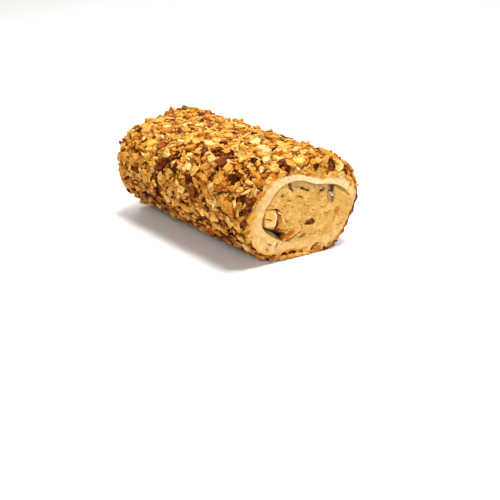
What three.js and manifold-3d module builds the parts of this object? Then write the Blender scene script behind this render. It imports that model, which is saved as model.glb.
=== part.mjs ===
// A roll of Turkish delight: a nut filling wrapped in a sheet of nougat, rolled in chopped roasted
// hazelnuts and cut to length. X runs along the roll, Y across it and Z up; it lies on its flat side.
import * as THREE from "three";
import { mergeVertices } from "three/addons/utils/BufferGeometryUtils.js";
import Module from "manifold-3d";

const wasm = await Module();
wasm.setup();

// Driving dimensions, in millimetres. Angles are in degrees and turn from +Y towards +Z.
const LENGTH = 62; // between the two cuts, along the axis
const AXIS_HEIGHT = 15.2; // of the roll's axis over the table
const FRONT_SLANT = 0.39; // the knife went through obliquely: x gained for each mm of y
const BACK_SLANT = 0.06;
const CRUST_LEVEL = 0.9; // of the small chopped nuts, inside the outline that the large ones reach
const EDGE_ROUND = 4.5; // how far the knife dragged the crust over each cut's edge
const EDGE_POWER = 2.4; // 2 would be a quarter circle
const SEAT_SOFTNESS = 2; // of the turn from the flat side that it has lain on
const WALL_GAP = 0.3; // between two pieces that touch
const GROOVE = { x: -18, angle: 215, depth: 1.1, length: 1.6, spread: 28 }; // pinched in while soft
const LUMP = 0.45; // height of the small chopped nuts, either way
const LUMP_DRIFT = 0.3; // of a mesh step that each of them is off its place

// Each outline is a circle about (y, z) from the axis, pulled into two lobes (an oval), three (an egg)
// and four (a square). A lobe has a height and the direction that its first crest points to.
const BODY = outline(0, 0, 19.1, [0.95, -15], [1.55, 38], [0.35, -41]);
const RING_FRONT = outline(0.6, -0.8, 15.2, [1.6, -2], [0.25, 0], [1.1, 29]);
const RING_BACK = outline(-0.3, -0.6, 15.4, [1.9, 6], [0.4, 80], [0.8, 10]);
const FILLING_FRONT = outline(1.7, 0.1, 11.7, [2.5, -11], [0.5, -10], [0.15, 15]);
const FILLING_BACK = outline(-0.9, 0.4, 11.8, [2.2, 8], [0.6, 60], [0.3, 40]);

// Where the filling has shrunk away from the nougat at the front cut.
const SHRINKAGE = { gap: 1.1, angle: 203, spread: 30, depth: 4.5 };

// Large pieces of chopped hazelnut on the crust, largest first.
const CHIPS = 255;
const LARGEST_CHIP = 4.6;
const SMALLEST_CHIP = 2.7;
const CHIP_WIDTH = 0.7; // of its length
const CHIP_THICKNESS = 0.46;
const CHIP_LIFT = 0.12; // of its length, out of the crust
const CHIP_TILT = 30;
const CHIP_MARGIN = 1.3; // from its middle to the bare nougat at a cut
const CHIP_UNEVENNESS = 0.5;
const CHIP_TAPER = 0.75; // of its width, left at its upper side
const CHIP_OFF_SEAT = 0.6; // over the table from here on, so that none lies under the roll
const EVEN_STEPS = { along: 0.7548776662, around: 0.5698402909 }; // they spread points evenly
const PATH_STEPS = 90; // of the way over the crust, from cut to cut

// Kernels in the filling that a knife has cut through: place on the cut, size [along, across, up], turn.
const FRONT_KERNELS = [
  { y: -9.4, z: 0.4, size: [5.0, 3.2, 5.6], turn: 6 },
  { y: -6.0, z: -1.3, size: [5.5, 2.6, 6.6], turn: 14 },
  { y: -2.7, z: -6.2, size: [4.5, 6.8, 2.8], turn: 30 },
  { y: 2.4, z: -3.3, size: [3.5, 3.6, 2.4], turn: -15 },
  { y: 11.4, z: -1.8, size: [3.5, 2.6, 2.8], turn: 20 },
  { y: 9.2, z: 4.2, size: [4.5, 2.8, 6.0], turn: -12 },
];
const BACK_KERNELS = [
  { y: 6.6, z: 3.2, size: [5.0, 4.4, 5.4], turn: -25 },
  { y: -7.4, z: -2.4, size: [5.5, 5.8, 3.0], turn: 35 },
  { y: 0.4, z: -5.0, size: [4.0, 3.2, 3.4], turn: 10 },
  { y: -4.6, z: 5.0, size: [4.5, 2.6, 4.6], turn: -40 },
];
const KERNEL_PROUD = 0.25; // of the filling, where the knife has passed
const KERNEL_DEPTH = 0.24; // of its length, from the cut to its middle
const LARGE_KERNEL = 5; // from this size on it is drawn with more faces
const KERNEL_UNEVENNESS = 0.25;

// Pits and a crack torn at the front cut, and a nut of the crust that the knife pushed in.
const FILLING_PITS = [
  { y: -3.5, z: 9.0, size: [2.6, 0.9, 3.6], turn: 22 },
  { y: -6.3, z: 6.7, size: [1.6, 1.2, 2.0], turn: 25 },
  { y: 0.6, z: 7.4, size: [1.8, 2.8, 1.3], turn: -35 },
];
const NOUGAT_PITS = [{ y: -8.9, z: -8.8, size: [3.0, 2.8, 1.5], turn: -25 }];
const PUSHED_NUT = { y: 5.2, z: -13.0, size: [2.8, 3.0, 2.6], turn: -30 };

// Mesh steps.
const AROUND = 40;
const AROUND_FILLING = 40;
const MIDDLE_STATIONS = 12;
const EDGE_STATIONS = [0, 0.5, 1.5, 3.0]; // millimetres from a cut
const SIDE_SHARES = [0, 0.35, 0.65, 0.93, 0.965, 1]; // of the length, for the filling
const FACE_RINGS = [ // how far out from the middle of a cut, and how many points
  [0.8, 32],
  [0.58, 20],
  [0.38, 12],
  [0.18, 6],
];
const WALL_SHARES = [1, 0.65, 0.35, 0]; // of the length, for the nougat's inside
const FACE_RELIEF = 0.15; // of a cut face, either way
const FACE_WAVE = 7; // from hollow to hollow
const NUDGE = 0.003; // of the length or of a turn, for the slope of the crust
const MERGE = 1e-4;

// Random draws: a question for each kind of draw, and a first item for each kind of nut.
const ASK = { lump: 1, shift: 2, turn: 3, tilt: 4, hinge: 5, corner: 10 };
const FIRST = { back: 20, front: 40, pushed: 60, nougatPit: 70, fillingPit: 80, chip: 100 };

function outline(y, z, mean, [oval, ovalAt], [egg, eggAt], [square, squareAt]) {
  return { y, z, mean, oval, ovalAt, egg, eggAt, square, squareAt };
}

const { degToRad: radians, lerp: mix, clamp, smoothstep, euclideanModulo } = THREE.MathUtils;
const TURN = 2 * Math.PI;

// The same number from 0 to 1 for the same item and question, so that each run draws the same roll.
function draw(item, question) {
  const wave = Math.sin(item * 127.1 + question * 311.7) * 43758.5453;
  return wave - Math.floor(wave);
}

function mixOutlines(back, front, share) {
  return Object.fromEntries(
    Object.keys(back).map((key) => [key, mix(back[key], front[key], share)]),
  );
}

// The point of an outline in a direction, with the outline grown by a few tenths if asked.
function onOutline(shape, angle, grow = 0) {
  const reach =
    shape.mean +
    grow +
    shape.oval * Math.cos(2 * (angle - radians(shape.ovalAt))) +
    shape.egg * Math.cos(3 * (angle - radians(shape.eggAt))) +
    shape.square * Math.cos(4 * (angle - radians(shape.squareAt)));
  return { y: shape.y + reach * Math.cos(angle), z: shape.z + reach * Math.sin(angle) };
}

// The x of a point that lies a share of the way from the back cut to the front one.
function alongRoll(share, y) {
  return (share - 0.5) * LENGTH + y * mix(BACK_SLANT, FRONT_SLANT, share);
}

// 1 at an angle, falling to 0 a spread away on either side.
function bump(angle, centre, spread) {
  const away = Math.abs(euclideanModulo(angle - radians(centre) + TURN / 2, TURN) - TURN / 2);
  return 0.5 + 0.5 * Math.cos(Math.PI * Math.min(away / radians(spread), 1));
}

// A height over the table: flat well under it, and turning softly from there into the side.
function seated(z) {
  const near = Math.max(SEAT_SOFTNESS - Math.abs(z + AXIS_HEIGHT), 0);
  return Math.max(z, -AXIS_HEIGHT) + near ** 2 / (4 * SEAT_SOFTNESS);
}

// The crust of small chopped nuts. Its edges are drawn in to the ring that shows at each cut.
function crustPoint(angle, share, lump = 0) {
  const fromCut = Math.min(share, 1 - share) * LENGTH;
  const inward = clamp(1 - fromCut / EDGE_ROUND, 0, 1);
  const full = (1 - inward ** EDGE_POWER) ** (1 / EDGE_POWER);
  const ring = onOutline(mixOutlines(RING_BACK, RING_FRONT, share), angle);
  const along = (alongRoll(share, onOutline(BODY, angle).y) - GROOVE.x) / GROOVE.length;
  const groove = GROOVE.depth * bump(angle, GROOVE.angle, GROOVE.spread) * Math.exp(-(along ** 2));
  const body = onOutline(BODY, angle, lump - CRUST_LEVEL - groove);
  const y = mix(ring.y, body.y, full);
  return new THREE.Vector3(alongRoll(share, y), y, seated(mix(ring.z, body.z, full)));
}

// The outside of the filling, or with the gap added the inside of the nougat round it.
function fillingPoint(angle, share, grow) {
  const { y, z } = onOutline(mixOutlines(FILLING_BACK, FILLING_FRONT, share), angle, grow);
  return new THREE.Vector3(alongRoll(share, y), y, z);
}

function anglesOf(count) {
  return Array.from({ length: count }, (_, i) => (TURN * i) / count);
}

function stationShares() {
  const last = EDGE_STATIONS[EDGE_STATIONS.length - 1] / LENGTH;
  const near = EDGE_STATIONS.map((distance) => distance / LENGTH);
  const middle = Array.from({ length: MIDDLE_STATIONS }, (_, i) =>
    mix(last, 1 - last, (i + 1) / (MIDDLE_STATIONS + 1)),
  );
  return [...near, ...middle, ...near.map((share) => 1 - share).reverse()];
}

// The triangles between two loops of points that may differ in number.
function zip(a, countA, b, countB) {
  const faces = [];
  let [i, j] = [0, 0];
  while (i < countA || j < countB) {
    const stepA = j === countB || (i < countA && (i + 1) / countA <= (j + 1) / countB);
    const [pointA, pointB] = [a + (i % countA), b + (j % countB)];
    if (stepA && countA > 1) faces.push(pointA, pointB, a + ((i + 1) % countA));
    if (!stepA && countB > 1) faces.push(pointA, pointB, b + ((j + 1) % countB));
    if (stepA) i++;
    else j++;
  }
  return faces;
}

// A closed solid through loops of points. A tube's last loop joins its first; any other ends in a
// single point at each end.
function solidFromLoops(loops, tube) {
  const positions = loops.flat().flatMap((point) => point.toArray());
  const starts = loops.map((_, i) => loops.slice(0, i).flat().length);
  const pairs = tube ? loops.length : loops.length - 1;
  const faces = Array.from({ length: pairs }, (_, i) => {
    const next = (i + 1) % loops.length;
    return zip(starts[i], loops[i].length, starts[next], loops[next].length);
  });
  return solidOf(positions, faces.flat());
}

function solidOf(positions, faces) {
  const build = (triangles) =>
    new wasm.Manifold(
      new wasm.Mesh({
        numProp: 3,
        vertProperties: new Float32Array(positions),
        triVerts: new Uint32Array(triangles),
      }),
    );
  const solid = build(faces);
  if (solid.volume() > 0) return solid;
  const turned = faces.slice();
  for (let i = 0; i < turned.length; i += 3)
    [turned[i + 1], turned[i + 2]] = [turned[i + 2], turned[i + 1]];
  return build(turned);
}

function solidOfGeometry(geometry) {
  return solidOf(geometry.attributes.position.array, geometry.index.array);
}

// The same geometry with one point at each corner.
function welded(geometry) {
  geometry.deleteAttribute("normal");
  geometry.deleteAttribute("uv");
  return mergeVertices(geometry, MERGE);
}

// A simple body with each corner moved, as a broken nut has.
function broken(body, unevenness, item) {
  const nut = welded(body);
  const corners = nut.attributes.position;
  const off = (i, axis) => unevenness * (draw(item, 3 * i + axis + ASK.corner) - 0.5);
  for (let i = 0; i < corners.count; i++)
    corners.setXYZ(
      i,
      corners.getX(i) + off(i, 0),
      corners.getY(i) + off(i, 1),
      corners.getZ(i) + off(i, 2),
    );
  return nut;
}

// The skin that holds most, alone: this fills the hollows that nuts have sealed between them.
function largestSkin(solid) {
  const { vertProperties, triVerts } = solid.getMesh();
  const parent = Array.from({ length: vertProperties.length / 3 }, (_, i) => i);
  const rootOf = (i) => {
    while (parent[i] !== i) i = parent[i] = parent[parent[i]];
    return i;
  };
  for (let i = 0; i < triVerts.length; i += 3) {
    parent[rootOf(triVerts[i + 1])] = rootOf(triVerts[i]);
    parent[rootOf(triVerts[i + 2])] = rootOf(triVerts[i]);
  }
  const skins = new Map();
  for (let i = 0; i < triVerts.length; i += 3) {
    const root = rootOf(triVerts[i]);
    if (!skins.has(root)) skins.set(root, []);
    skins.get(root).push(i);
  }
  const largest = [...skins.values()].reduce((a, b) => (b.length > a.length ? b : a));
  return solidOf(vertProperties, largest.flatMap((i) => [...triVerts.subarray(i, i + 3)]));
}

// The nougat tube that the filling runs through, with the small chopped nuts as its relief.
function nougatTube() {
  const shares = stationShares();
  const step = 1 / (shares.length - 1);
  const outside = shares.map((share, row) =>
    anglesOf(AROUND).map((angle, column) => {
      const item = row * AROUND + column;
      const fromCut = Math.min(share, 1 - share) * LENGTH;
      if (fromCut < EDGE_STATIONS[1]) return crustPoint(angle, share);
      const either = (question) => 2 * draw(item, question) - 1;
      const shift = fromCut < EDGE_STATIONS[3] ? 0 : LUMP_DRIFT * step * either(ASK.shift);
      const turn = (LUMP_DRIFT * TURN * either(ASK.turn)) / AROUND;
      return crustPoint(angle + turn, share + shift, LUMP * either(ASK.lump));
    }),
  );
  const wall = WALL_SHARES.map((share) =>
    anglesOf(AROUND_FILLING).map((angle) => fillingPoint(angle, share, WALL_GAP)),
  );
  const annulus = (share, end) =>
    anglesOf((AROUND + AROUND_FILLING) / 2).map((angle) => {
      const middle = crustPoint(angle, share).lerp(fillingPoint(angle, share, WALL_GAP), 0.5);
      middle.x += end * faceWave(middle);
      return middle;
    });
  return solidFromLoops([...outside, annulus(1, 1), ...wall, annulus(0, -1)], true);
}

// Where a part of the way over the crust ends, from the back cut over its edge to the front cut.
function shareAfter(part, angle) {
  const shares = Array.from(
    { length: PATH_STEPS + 1 },
    (_, i) => 0.5 - 0.5 * Math.cos((Math.PI * i) / PATH_STEPS),
  );
  const points = shares.map((share) => crustPoint(angle, share));
  const run = [0];
  for (let i = 1; i < points.length; i++) run.push(run[i - 1] + points[i].distanceTo(points[i - 1]));
  const goal = mix(CHIP_MARGIN, run[PATH_STEPS] - CHIP_MARGIN, part);
  const next = run.findIndex((length) => length >= goal);
  return mix(shares[next - 1], shares[next], (goal - run[next - 1]) / (run[next] - run[next - 1]));
}

// One large piece of nut on the crust: evenly spread places, half sunk and tipped a little.
function chip(item) {
  const angle = TURN * ((0.5 + item * EVEN_STEPS.around) % 1);
  const share = shareAfter((0.5 + item * EVEN_STEPS.along) % 1, angle);
  const place = crustPoint(angle, share);
  if (place.z < CHIP_OFF_SEAT - AXIS_HEIGHT) return null;
  const along = crustPoint(angle, share + NUDGE).sub(crustPoint(angle, share - NUDGE));
  const round = crustPoint(angle + NUDGE * TURN, share).sub(place);
  const out = new THREE.Vector3().crossVectors(round, along).normalize();
  if (out.y * place.y + out.z * place.z < 0) out.negate();
  const length = mix(LARGEST_CHIP, SMALLEST_CHIP, item / CHIPS);
  const nut = broken(new THREE.BoxGeometry(1, 1, 1), CHIP_UNEVENNESS, FIRST.chip + item);
  const corners = nut.attributes.position;
  for (let i = 0; i < corners.count; i++) {
    const width = corners.getZ(i) > 0 ? CHIP_TAPER : 1;
    corners.setXY(i, corners.getX(i) * width, corners.getY(i) * width);
  }
  nut.scale(length, length * CHIP_WIDTH, length * CHIP_THICKNESS);
  const up = new THREE.Vector3(0, 0, 1);
  const turned = TURN * draw(item, ASK.hinge);
  const hinge = new THREE.Vector3(Math.cos(turned), Math.sin(turned), 0);
  const tilt = radians(CHIP_TILT) * (2 * draw(item, ASK.tilt) - 1);
  const lie = new THREE.Quaternion().setFromUnitVectors(up, out);
  const tip = new THREE.Quaternion().setFromAxisAngle(hinge, tilt);
  const spin = new THREE.Quaternion().setFromAxisAngle(up, TURN * draw(item, ASK.turn));
  nut.applyQuaternion(lie.multiply(tip).multiply(spin));
  place.addScaledVector(out, length * CHIP_LIFT);
  return solidOfGeometry(nut.translate(...place.toArray()));
}

// A block larger than the roll, put in place by the caller, to cut with.
function largeBlock(side, place) {
  const block = welded(new THREE.BoxGeometry(side, side, side));
  place(block);
  return solidOfGeometry(block);
}

function nougatWithNuts() {
  const chips = Array.from({ length: CHIPS }, (_, item) => chip(item)).filter((one) => one !== null);
  const pushed = solidOfGeometry(cutNut(PUSHED_NUT, 1, FIRST.pushed, 0));
  const covered = [...chips, pushed].reduce((solid, one) => solid.add(one), nougatTube());
  const torn = NOUGAT_PITS.reduce(
    (solid, pit, i) => solid.subtract(solidOfGeometry(cutNut(pit, 1, FIRST.nougatPit + i, 0))),
    covered,
  );
  const side = 4 * LENGTH;
  const table = largeBlock(side, (block) => block.translate(0, 0, -AXIS_HEIGHT - side / 2));
  return largestSkin(torn.subtract(table).intersect(behindCut(1)).intersect(behindCut(0)));
}

// How far a cut face stands out at a point: the knife left it a little wavy.
function faceWave({ y, z }) {
  const turn = TURN / FACE_WAVE;
  return FACE_RELIEF * (Math.sin(turn * y + Math.sin(turn * 0.6 * z)) + Math.cos(turn * 0.8 * z));
}

function shrunkFilling(angle, share) {
  const fromCut = (1 - share) * LENGTH;
  const fade = 1 - smoothstep(fromCut, 0, SHRINKAGE.depth);
  const inward = SHRINKAGE.gap * bump(angle, SHRINKAGE.angle, SHRINKAGE.spread) * fade;
  return fillingPoint(angle, share, -inward);
}

function fillingFace(share, shape, end) {
  const centre = new THREE.Vector3(alongRoll(share, shape.y), shape.y, shape.z);
  const rings = FACE_RINGS.map(([size, count]) =>
    anglesOf(count).map((angle) => {
      const inner = centre.clone().lerp(shrunkFilling(angle, share), size);
      inner.x += end * faceWave(inner);
      return inner;
    }),
  );
  return [...rings, [centre]];
}

function fillingBody() {
  const sides = SIDE_SHARES.map((share) =>
    anglesOf(AROUND_FILLING).map((angle) => shrunkFilling(angle, share)),
  );
  const front = fillingFace(1, FILLING_FRONT, 1);
  const back = fillingFace(0, FILLING_BACK, -1).reverse();
  return solidFromLoops([...back, ...sides, ...front], false);
}

// A nut's whole form, set in with its middle a little behind the cut.
function cutNut(nut, share, item, grow) {
  const end = share ? 1 : -1;
  const detail = Math.max(...nut.size) > LARGE_KERNEL ? 1 : 0;
  const form = broken(new THREE.IcosahedronGeometry(1, detail), KERNEL_UNEVENNESS, item);
  form.scale(...nut.size.map((side) => side / 2 + grow));
  form.rotateX(radians(nut.turn));
  const x = alongRoll(share, nut.y) - end * nut.size[0] * KERNEL_DEPTH;
  return form.translate(x, nut.y, nut.z);
}

// The side of a cut that is left when the knife has passed.
function behindCut(share) {
  const side = 3 * LENGTH;
  const end = share ? 1 : -1;
  return largeBlock(side, (block) => {
    block.translate(-end * (side / 2 - KERNEL_PROUD), 0, 0);
    block.rotateZ(-Math.atan(share ? FRONT_SLANT : BACK_SLANT));
    block.translate(alongRoll(share, 0), 0, 0);
  });
}

function material(name, colour, roughness) {
  return new THREE.MeshStandardMaterial({ name, color: new THREE.Color(...colour), roughness, metalness: 0 });
}

const MATERIALS = {
  crust: material("roasted_nut_crust", [0.85, 0.6, 0.28], 0.7),
  filling: material("nut_filling", [0.8, 0.6, 0.33], 0.6),
  kernel: material("roasted_kernel", [0.62, 0.36, 0.15], 0.55),
};

function meshOf(solid, name, finish) {
  const { numProp, numVert, vertProperties, triVerts } = solid.getMesh();
  const points = new Float32Array(numVert * 3);
  for (let i = 0; i < numVert; i++)
    points.set(vertProperties.subarray(i * numProp, i * numProp + 3), i * 3);
  const geometry = new THREE.BufferGeometry();
  geometry.setAttribute("position", new THREE.BufferAttribute(points, 3));
  geometry.setIndex(new THREE.BufferAttribute(triVerts, 1));
  geometry.computeVertexNormals();
  const mesh = new THREE.Mesh(geometry, finish);
  mesh.name = name;
  return mesh;
}

const roll = new THREE.Group();
roll.name = "turkish_delight_roll";
roll.add(meshOf(nougatWithNuts(), "nougat_with_nuts", MATERIALS.crust));

const pits = FILLING_PITS.map((pit, i) => solidOfGeometry(cutNut(pit, 1, FIRST.fillingPit + i, 0)));
let filling = pits.reduce((solid, pit) => solid.subtract(pit), fillingBody());
const ends = [
  { share: 1, prefix: "front_kernel", kernels: FRONT_KERNELS, first: FIRST.front },
  { share: 0, prefix: "back_kernel", kernels: BACK_KERNELS, first: FIRST.back },
];
for (const { share, prefix, kernels, first } of ends) {
  const kept = behindCut(share);
  kernels.forEach((kernel, i) => {
    const item = first + i;
    const whole = solidOfGeometry(cutNut(kernel, share, item, 0));
    filling = filling.subtract(solidOfGeometry(cutNut(kernel, share, item, WALL_GAP)));
    roll.add(meshOf(whole.intersect(kept), `${prefix}_${i + 1}`, MATERIALS.kernel));
  });
}
roll.add(meshOf(filling, "nut_filling", MATERIALS.filling));

// The origin is the middle of the box that the roll fills, on the table.
const box = new THREE.Box3().setFromObject(roll);
const middle = box.getCenter(new THREE.Vector3());
roll.position.set(-middle.x, -middle.y, -box.min.z);

export default roll;
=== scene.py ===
# %% [markdown]
# # A roll of Turkish delight
# The sweet is a thick sheet of nougat rolled round a nut filling, rolled again in chopped roasted
# hazelnuts while it was still soft, and then cut to length with a knife. This lesson dresses a CAD
# model of it. The CAD solids give the shape and the sizes, and each step here makes one thing that
# they are too coarse for: the knife's marks on the nougat, the pits in the filling, the kernels that
# the knife went through, and some thousands of chopped nuts.
#
# Everything is worked out in millimetres from the roll's own axis, because that is how a cook would
# describe it, and goes to metres in the CAD's frame at the very end, in `add_piece`.

import bmesh
import bpy
import numpy as np
from mathutils import Matrix, Vector, noise


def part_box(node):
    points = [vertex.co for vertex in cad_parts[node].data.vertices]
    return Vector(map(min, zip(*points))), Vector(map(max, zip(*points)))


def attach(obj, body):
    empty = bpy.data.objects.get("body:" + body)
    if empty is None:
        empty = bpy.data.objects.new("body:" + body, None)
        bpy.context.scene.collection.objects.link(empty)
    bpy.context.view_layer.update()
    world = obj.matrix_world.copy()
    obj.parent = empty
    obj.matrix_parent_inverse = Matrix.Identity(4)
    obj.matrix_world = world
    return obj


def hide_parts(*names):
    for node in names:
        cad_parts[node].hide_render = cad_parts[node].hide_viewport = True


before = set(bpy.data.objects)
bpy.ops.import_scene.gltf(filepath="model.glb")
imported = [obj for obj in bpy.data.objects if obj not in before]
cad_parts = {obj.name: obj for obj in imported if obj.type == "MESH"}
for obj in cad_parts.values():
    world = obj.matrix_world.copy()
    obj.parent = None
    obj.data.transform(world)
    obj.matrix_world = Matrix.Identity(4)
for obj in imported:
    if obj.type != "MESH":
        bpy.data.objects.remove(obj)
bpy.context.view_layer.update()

# %% [markdown]
# ## The outlines
# A slice through the roll shows three outlines: the nut crust, the edge of the bare nougat where the
# knife cut, and the filling. None is a circle, because the roll was soft and slumped. A circle that is
# pulled into two lobes (an oval), three (an egg) and four (a square) follows each of them with a few
# numbers, which the CAD model uses as well. Each lobe has a height and the direction of its crest.

# %% Outlines of a slice
TURN = 2 * np.pi
LENGTH = 62.0  # between the cuts, along the axis, in mm as everything here
AXIS_HEIGHT = 15.2  # over the table
FRONT_SLANT = 0.39  # how far the front cut leans along the roll for each mm to the side
BACK_SLANT = 0.06


def outline(y, z, mean, oval, egg, square):
    """An outline's middle, its mean radius, and the height and direction of each kind of lobe."""
    return np.array([y, z, mean, *oval, *egg, *square])


BODY = outline(0, 0, 19.1, (0.95, -15), (1.55, 38), (0.35, -41))
RING_FRONT = outline(0.6, -0.8, 15.2, (1.6, -2), (0.25, 0), (1.1, 29))
RING_BACK = outline(-0.3, -0.6, 15.4, (1.9, 6), (0.4, 80), (0.8, 10))
FILLING_FRONT = outline(1.7, 0.1, 11.7, (2.5, -11), (0.5, -10), (0.15, 15))
FILLING_BACK = outline(-0.9, 0.4, 11.8, (2.2, 8), (0.6, 60), (0.3, 40))
print("mean radius in mm of the crust:", BODY[2], "and of the filling:", FILLING_FRONT[2])

# %% Helpers: points of an outline
def on_outline(shape, angle, grow=0.0):
    """(y, z) of an outline in a direction. The last axis of shape holds its nine numbers."""
    y, z, mean, oval, oval_at, egg, egg_at, square, square_at = np.moveaxis(shape, -1, 0)
    reach = (
        mean + grow
        + oval * np.cos(2 * (angle - np.radians(oval_at)))
        + egg * np.cos(3 * (angle - np.radians(egg_at)))
        + square * np.cos(4 * (angle - np.radians(square_at)))
    )
    return y + reach * np.cos(angle), z + reach * np.sin(angle)


def mixed(back, front, share):
    """An outline that lies a share of the way from the back one to the front one."""
    return back + np.asarray(share)[..., None] * (front - back)


def along_roll(share, y):
    """x of a point that lies a share of the way from the back cut to the front one."""
    return (share - 0.5) * LENGTH + y * (BACK_SLANT + share * (FRONT_SLANT - BACK_SLANT))


# %% [markdown]
# The CAD model's frame has its origin under the middle of the roll's box, so the axis has to be found
# in it. The rim of the filling's front cut is a plain outline in the CAD model, and no other part of
# the filling reaches further along X or Y, so its box tells where the axis is.

# %% Find the axis in the CAD model
rim_angles = TURN * np.arange(40) / 40
rim_y = on_outline(FILLING_FRONT, rim_angles)[0]
filling_high = 1000 * Vector(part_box("nut_filling")[1])
AXIS = np.array([
    filling_high.x - along_roll(1.0, rim_y).max(),
    filling_high.y - rim_y.max(),
    AXIS_HEIGHT,
])
print("axis in the CAD frame, mm:", AXIS.round(2))

# %% [markdown]
# ## The camera
# The photograph was taken from 31 degrees above the table, 43 degrees round from the roll's side, from
# about 21 cm, with a field of view of 42 degrees. The roll sits a little up and left of the middle, and
# the camera looks straight ahead, so no lens shift is needed.

# %% The camera
PITCH, AZIMUTH = np.radians(31.0), np.radians(43.0)
LENS, SENSOR = 46.8, 36.0
IMAGE = 500.0  # pixels along each side of the photograph
FOCAL = LENS / SENSOR * IMAGE  # in pixels
EYE = np.array([136.5, -135.94, 90.06])  # from the roll's axis

toward_eye = np.array([
    np.sin(AZIMUTH) * np.cos(PITCH), -np.cos(AZIMUTH) * np.cos(PITCH), np.sin(PITCH),
])
image_right = np.array([np.cos(AZIMUTH), np.sin(AZIMUTH), 0.0])
image_up = np.cross(toward_eye, image_right)

camera_data = bpy.data.cameras.new("camera")
camera_data.lens = LENS
camera_data.sensor_width = SENSOR
camera_data.clip_start = 0.01
camera = bpy.data.objects.new("camera", camera_data)
turned = Matrix([image_right, image_up, toward_eye]).transposed().to_4x4()
camera.matrix_world = Matrix.Translation(Vector((EYE + AXIS) / 1000)) @ turned
bpy.context.scene.collection.objects.link(camera)
bpy.context.scene.camera = camera
print(f"the camera is {np.linalg.norm(EYE):.0f} mm from the middle of the roll")

# %% [markdown]
# ## The studio
# The roll stands on a plain pale floor that fills the picture. One soft box hangs over it, a weaker one
# in front lightens the shadows on the cut, and a large one far behind makes the floor as white there
# as it is in the photograph. White walls all round give the rest of the light.

# %% Helper: a material
def material(name):
    """A new material, its node tree and its shader."""
    made = bpy.data.materials.new(name)
    made.use_nodes = True
    return made, made.node_tree, made.node_tree.nodes["Principled BSDF"]


# %% The floor
FLOOR_SIZE = 6.0  # in m
FLOOR_TONE = (0.93, 0.93, 0.92, 1)
FLOOR_ROUGHNESS = 0.6

floor_finish, _, floor_shader = material("pale_floor")
floor_shader.inputs["Base Color"].default_value = FLOOR_TONE
floor_shader.inputs["Roughness"].default_value = FLOOR_ROUGHNESS
bpy.ops.mesh.primitive_plane_add(size=FLOOR_SIZE)
floor = bpy.context.object
floor.name = "floor"
floor.data.materials.append(floor_finish)
print("the floor is", FLOOR_SIZE, "m across")

# %% The lights
SOFT_BOXES = [  # name, place and size in m, and power in watts
    ("overhead_box", (0.06, 0.04, 0.55), 0.16, 3.6),
    ("front_box", (0.36, -0.28, 0.30), 0.22, 1.12),
    ("backdrop_box", (-0.9, 1.3, 1.2), 1.6, 18),
]
WALL_TONE, WALL_LIGHT = (1, 0.97, 0.93, 1), 0.25

for name, place, size, watts in SOFT_BOXES:
    light = bpy.data.lights.new(name, "AREA")
    light.size = size
    light.energy = watts
    lamp = bpy.data.objects.new(name, light)
    lamp.location = place
    lamp.rotation_euler = (-Vector(place)).to_track_quat("-Z", "Y").to_euler()
    bpy.context.scene.collection.objects.link(lamp)
world = bpy.data.worlds.new("white_walls")
world.use_nodes = True
world.node_tree.nodes["Background"].inputs["Color"].default_value = WALL_TONE
world.node_tree.nodes["Background"].inputs["Strength"].default_value = WALL_LIGHT
bpy.context.scene.world = world
bpy.context.scene.view_settings.view_transform = "Standard"
print(len(SOFT_BOXES), "soft boxes")

# %% [markdown]
# ## From numbers to meshes
# Each piece is worked out as one array of points and one of faces, which numpy makes quickly even for
# a hundred thousand faces, and becomes a mesh here. A colour goes along with it as an attribute called
# `tone`, which the materials read. That is how every chopped nut gets a colour of its own.

# %% Helper: make a piece
SMOOTH, FACETED = True, False


def add_piece(name, points, faces, finish, smooth, tone):
    """A mesh from points in mm and triangles. The tone is a colour for each point or each corner."""
    mesh = bpy.data.meshes.new(name)
    mesh.vertices.add(len(points))
    mesh.vertices.foreach_set("co", ((points + AXIS) / 1000).ravel())
    mesh.loops.add(faces.size)
    mesh.loops.foreach_set("vertex_index", faces.ravel())
    mesh.polygons.add(len(faces))
    mesh.polygons.foreach_set("loop_start", 3 * np.arange(len(faces)))
    mesh.update(calc_edges=True)
    if smooth:
        mesh.shade_smooth()
    else:
        mesh.shade_flat()
    corners = tone[faces] if tone.ndim == 2 else tone
    layer = mesh.color_attributes.new("tone", "FLOAT_COLOR", "CORNER")
    opaque = np.ones((faces.size, 1))
    layer.data.foreach_set("color", np.hstack([corners.reshape(-1, 3), opaque]).ravel())
    mesh.materials.append(finish)
    piece = bpy.data.objects.new(name, mesh)
    bpy.context.scene.collection.objects.link(piece)
    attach(piece, "root")
    print(f"{name}: {len(points)} points, {len(faces)} triangles")
    return piece


# %% [markdown]
# The nougat, the filling and the kernels are all skins drawn over rows of points that go round. The
# rows of a tube are joined end to end. Those of a lump close in a fan of triangles at each end.

# %% Helper: faces over rows of points
JOINED, CAPPED = True, False


def skin(rows, ends):
    """Points of the rows as one array, and triangles over them that face outward."""
    columns = len(rows[0])
    here = np.arange(len(rows) * columns).reshape(len(rows), columns)
    beside, above = np.roll(here, -1, axis=1), np.roll(here, -1, axis=0)
    corner = np.roll(beside, -1, axis=0)
    last = None if ends == JOINED else -1
    halves = [np.stack(half, axis=-1)[:last] for half in ((here, beside, corner), (here, corner, above))]
    faces = [half.reshape(-1, 3) for half in halves]
    if ends == CAPPED:
        for row, order in ((here[0], 1), (here[-1], -1)):
            fan = np.stack([np.full(columns - 2, row[0]), row[2:], row[1:-1]], axis=-1)
            faces.append(fan[:, ::order])
    faces = np.concatenate(faces)
    points = np.concatenate(rows)
    a, b, c = (points[faces[:, i]] for i in range(3))
    volume = np.sum(np.cross(a, b) * c)
    return points, faces if volume > 0 else faces[:, ::-1]


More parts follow.
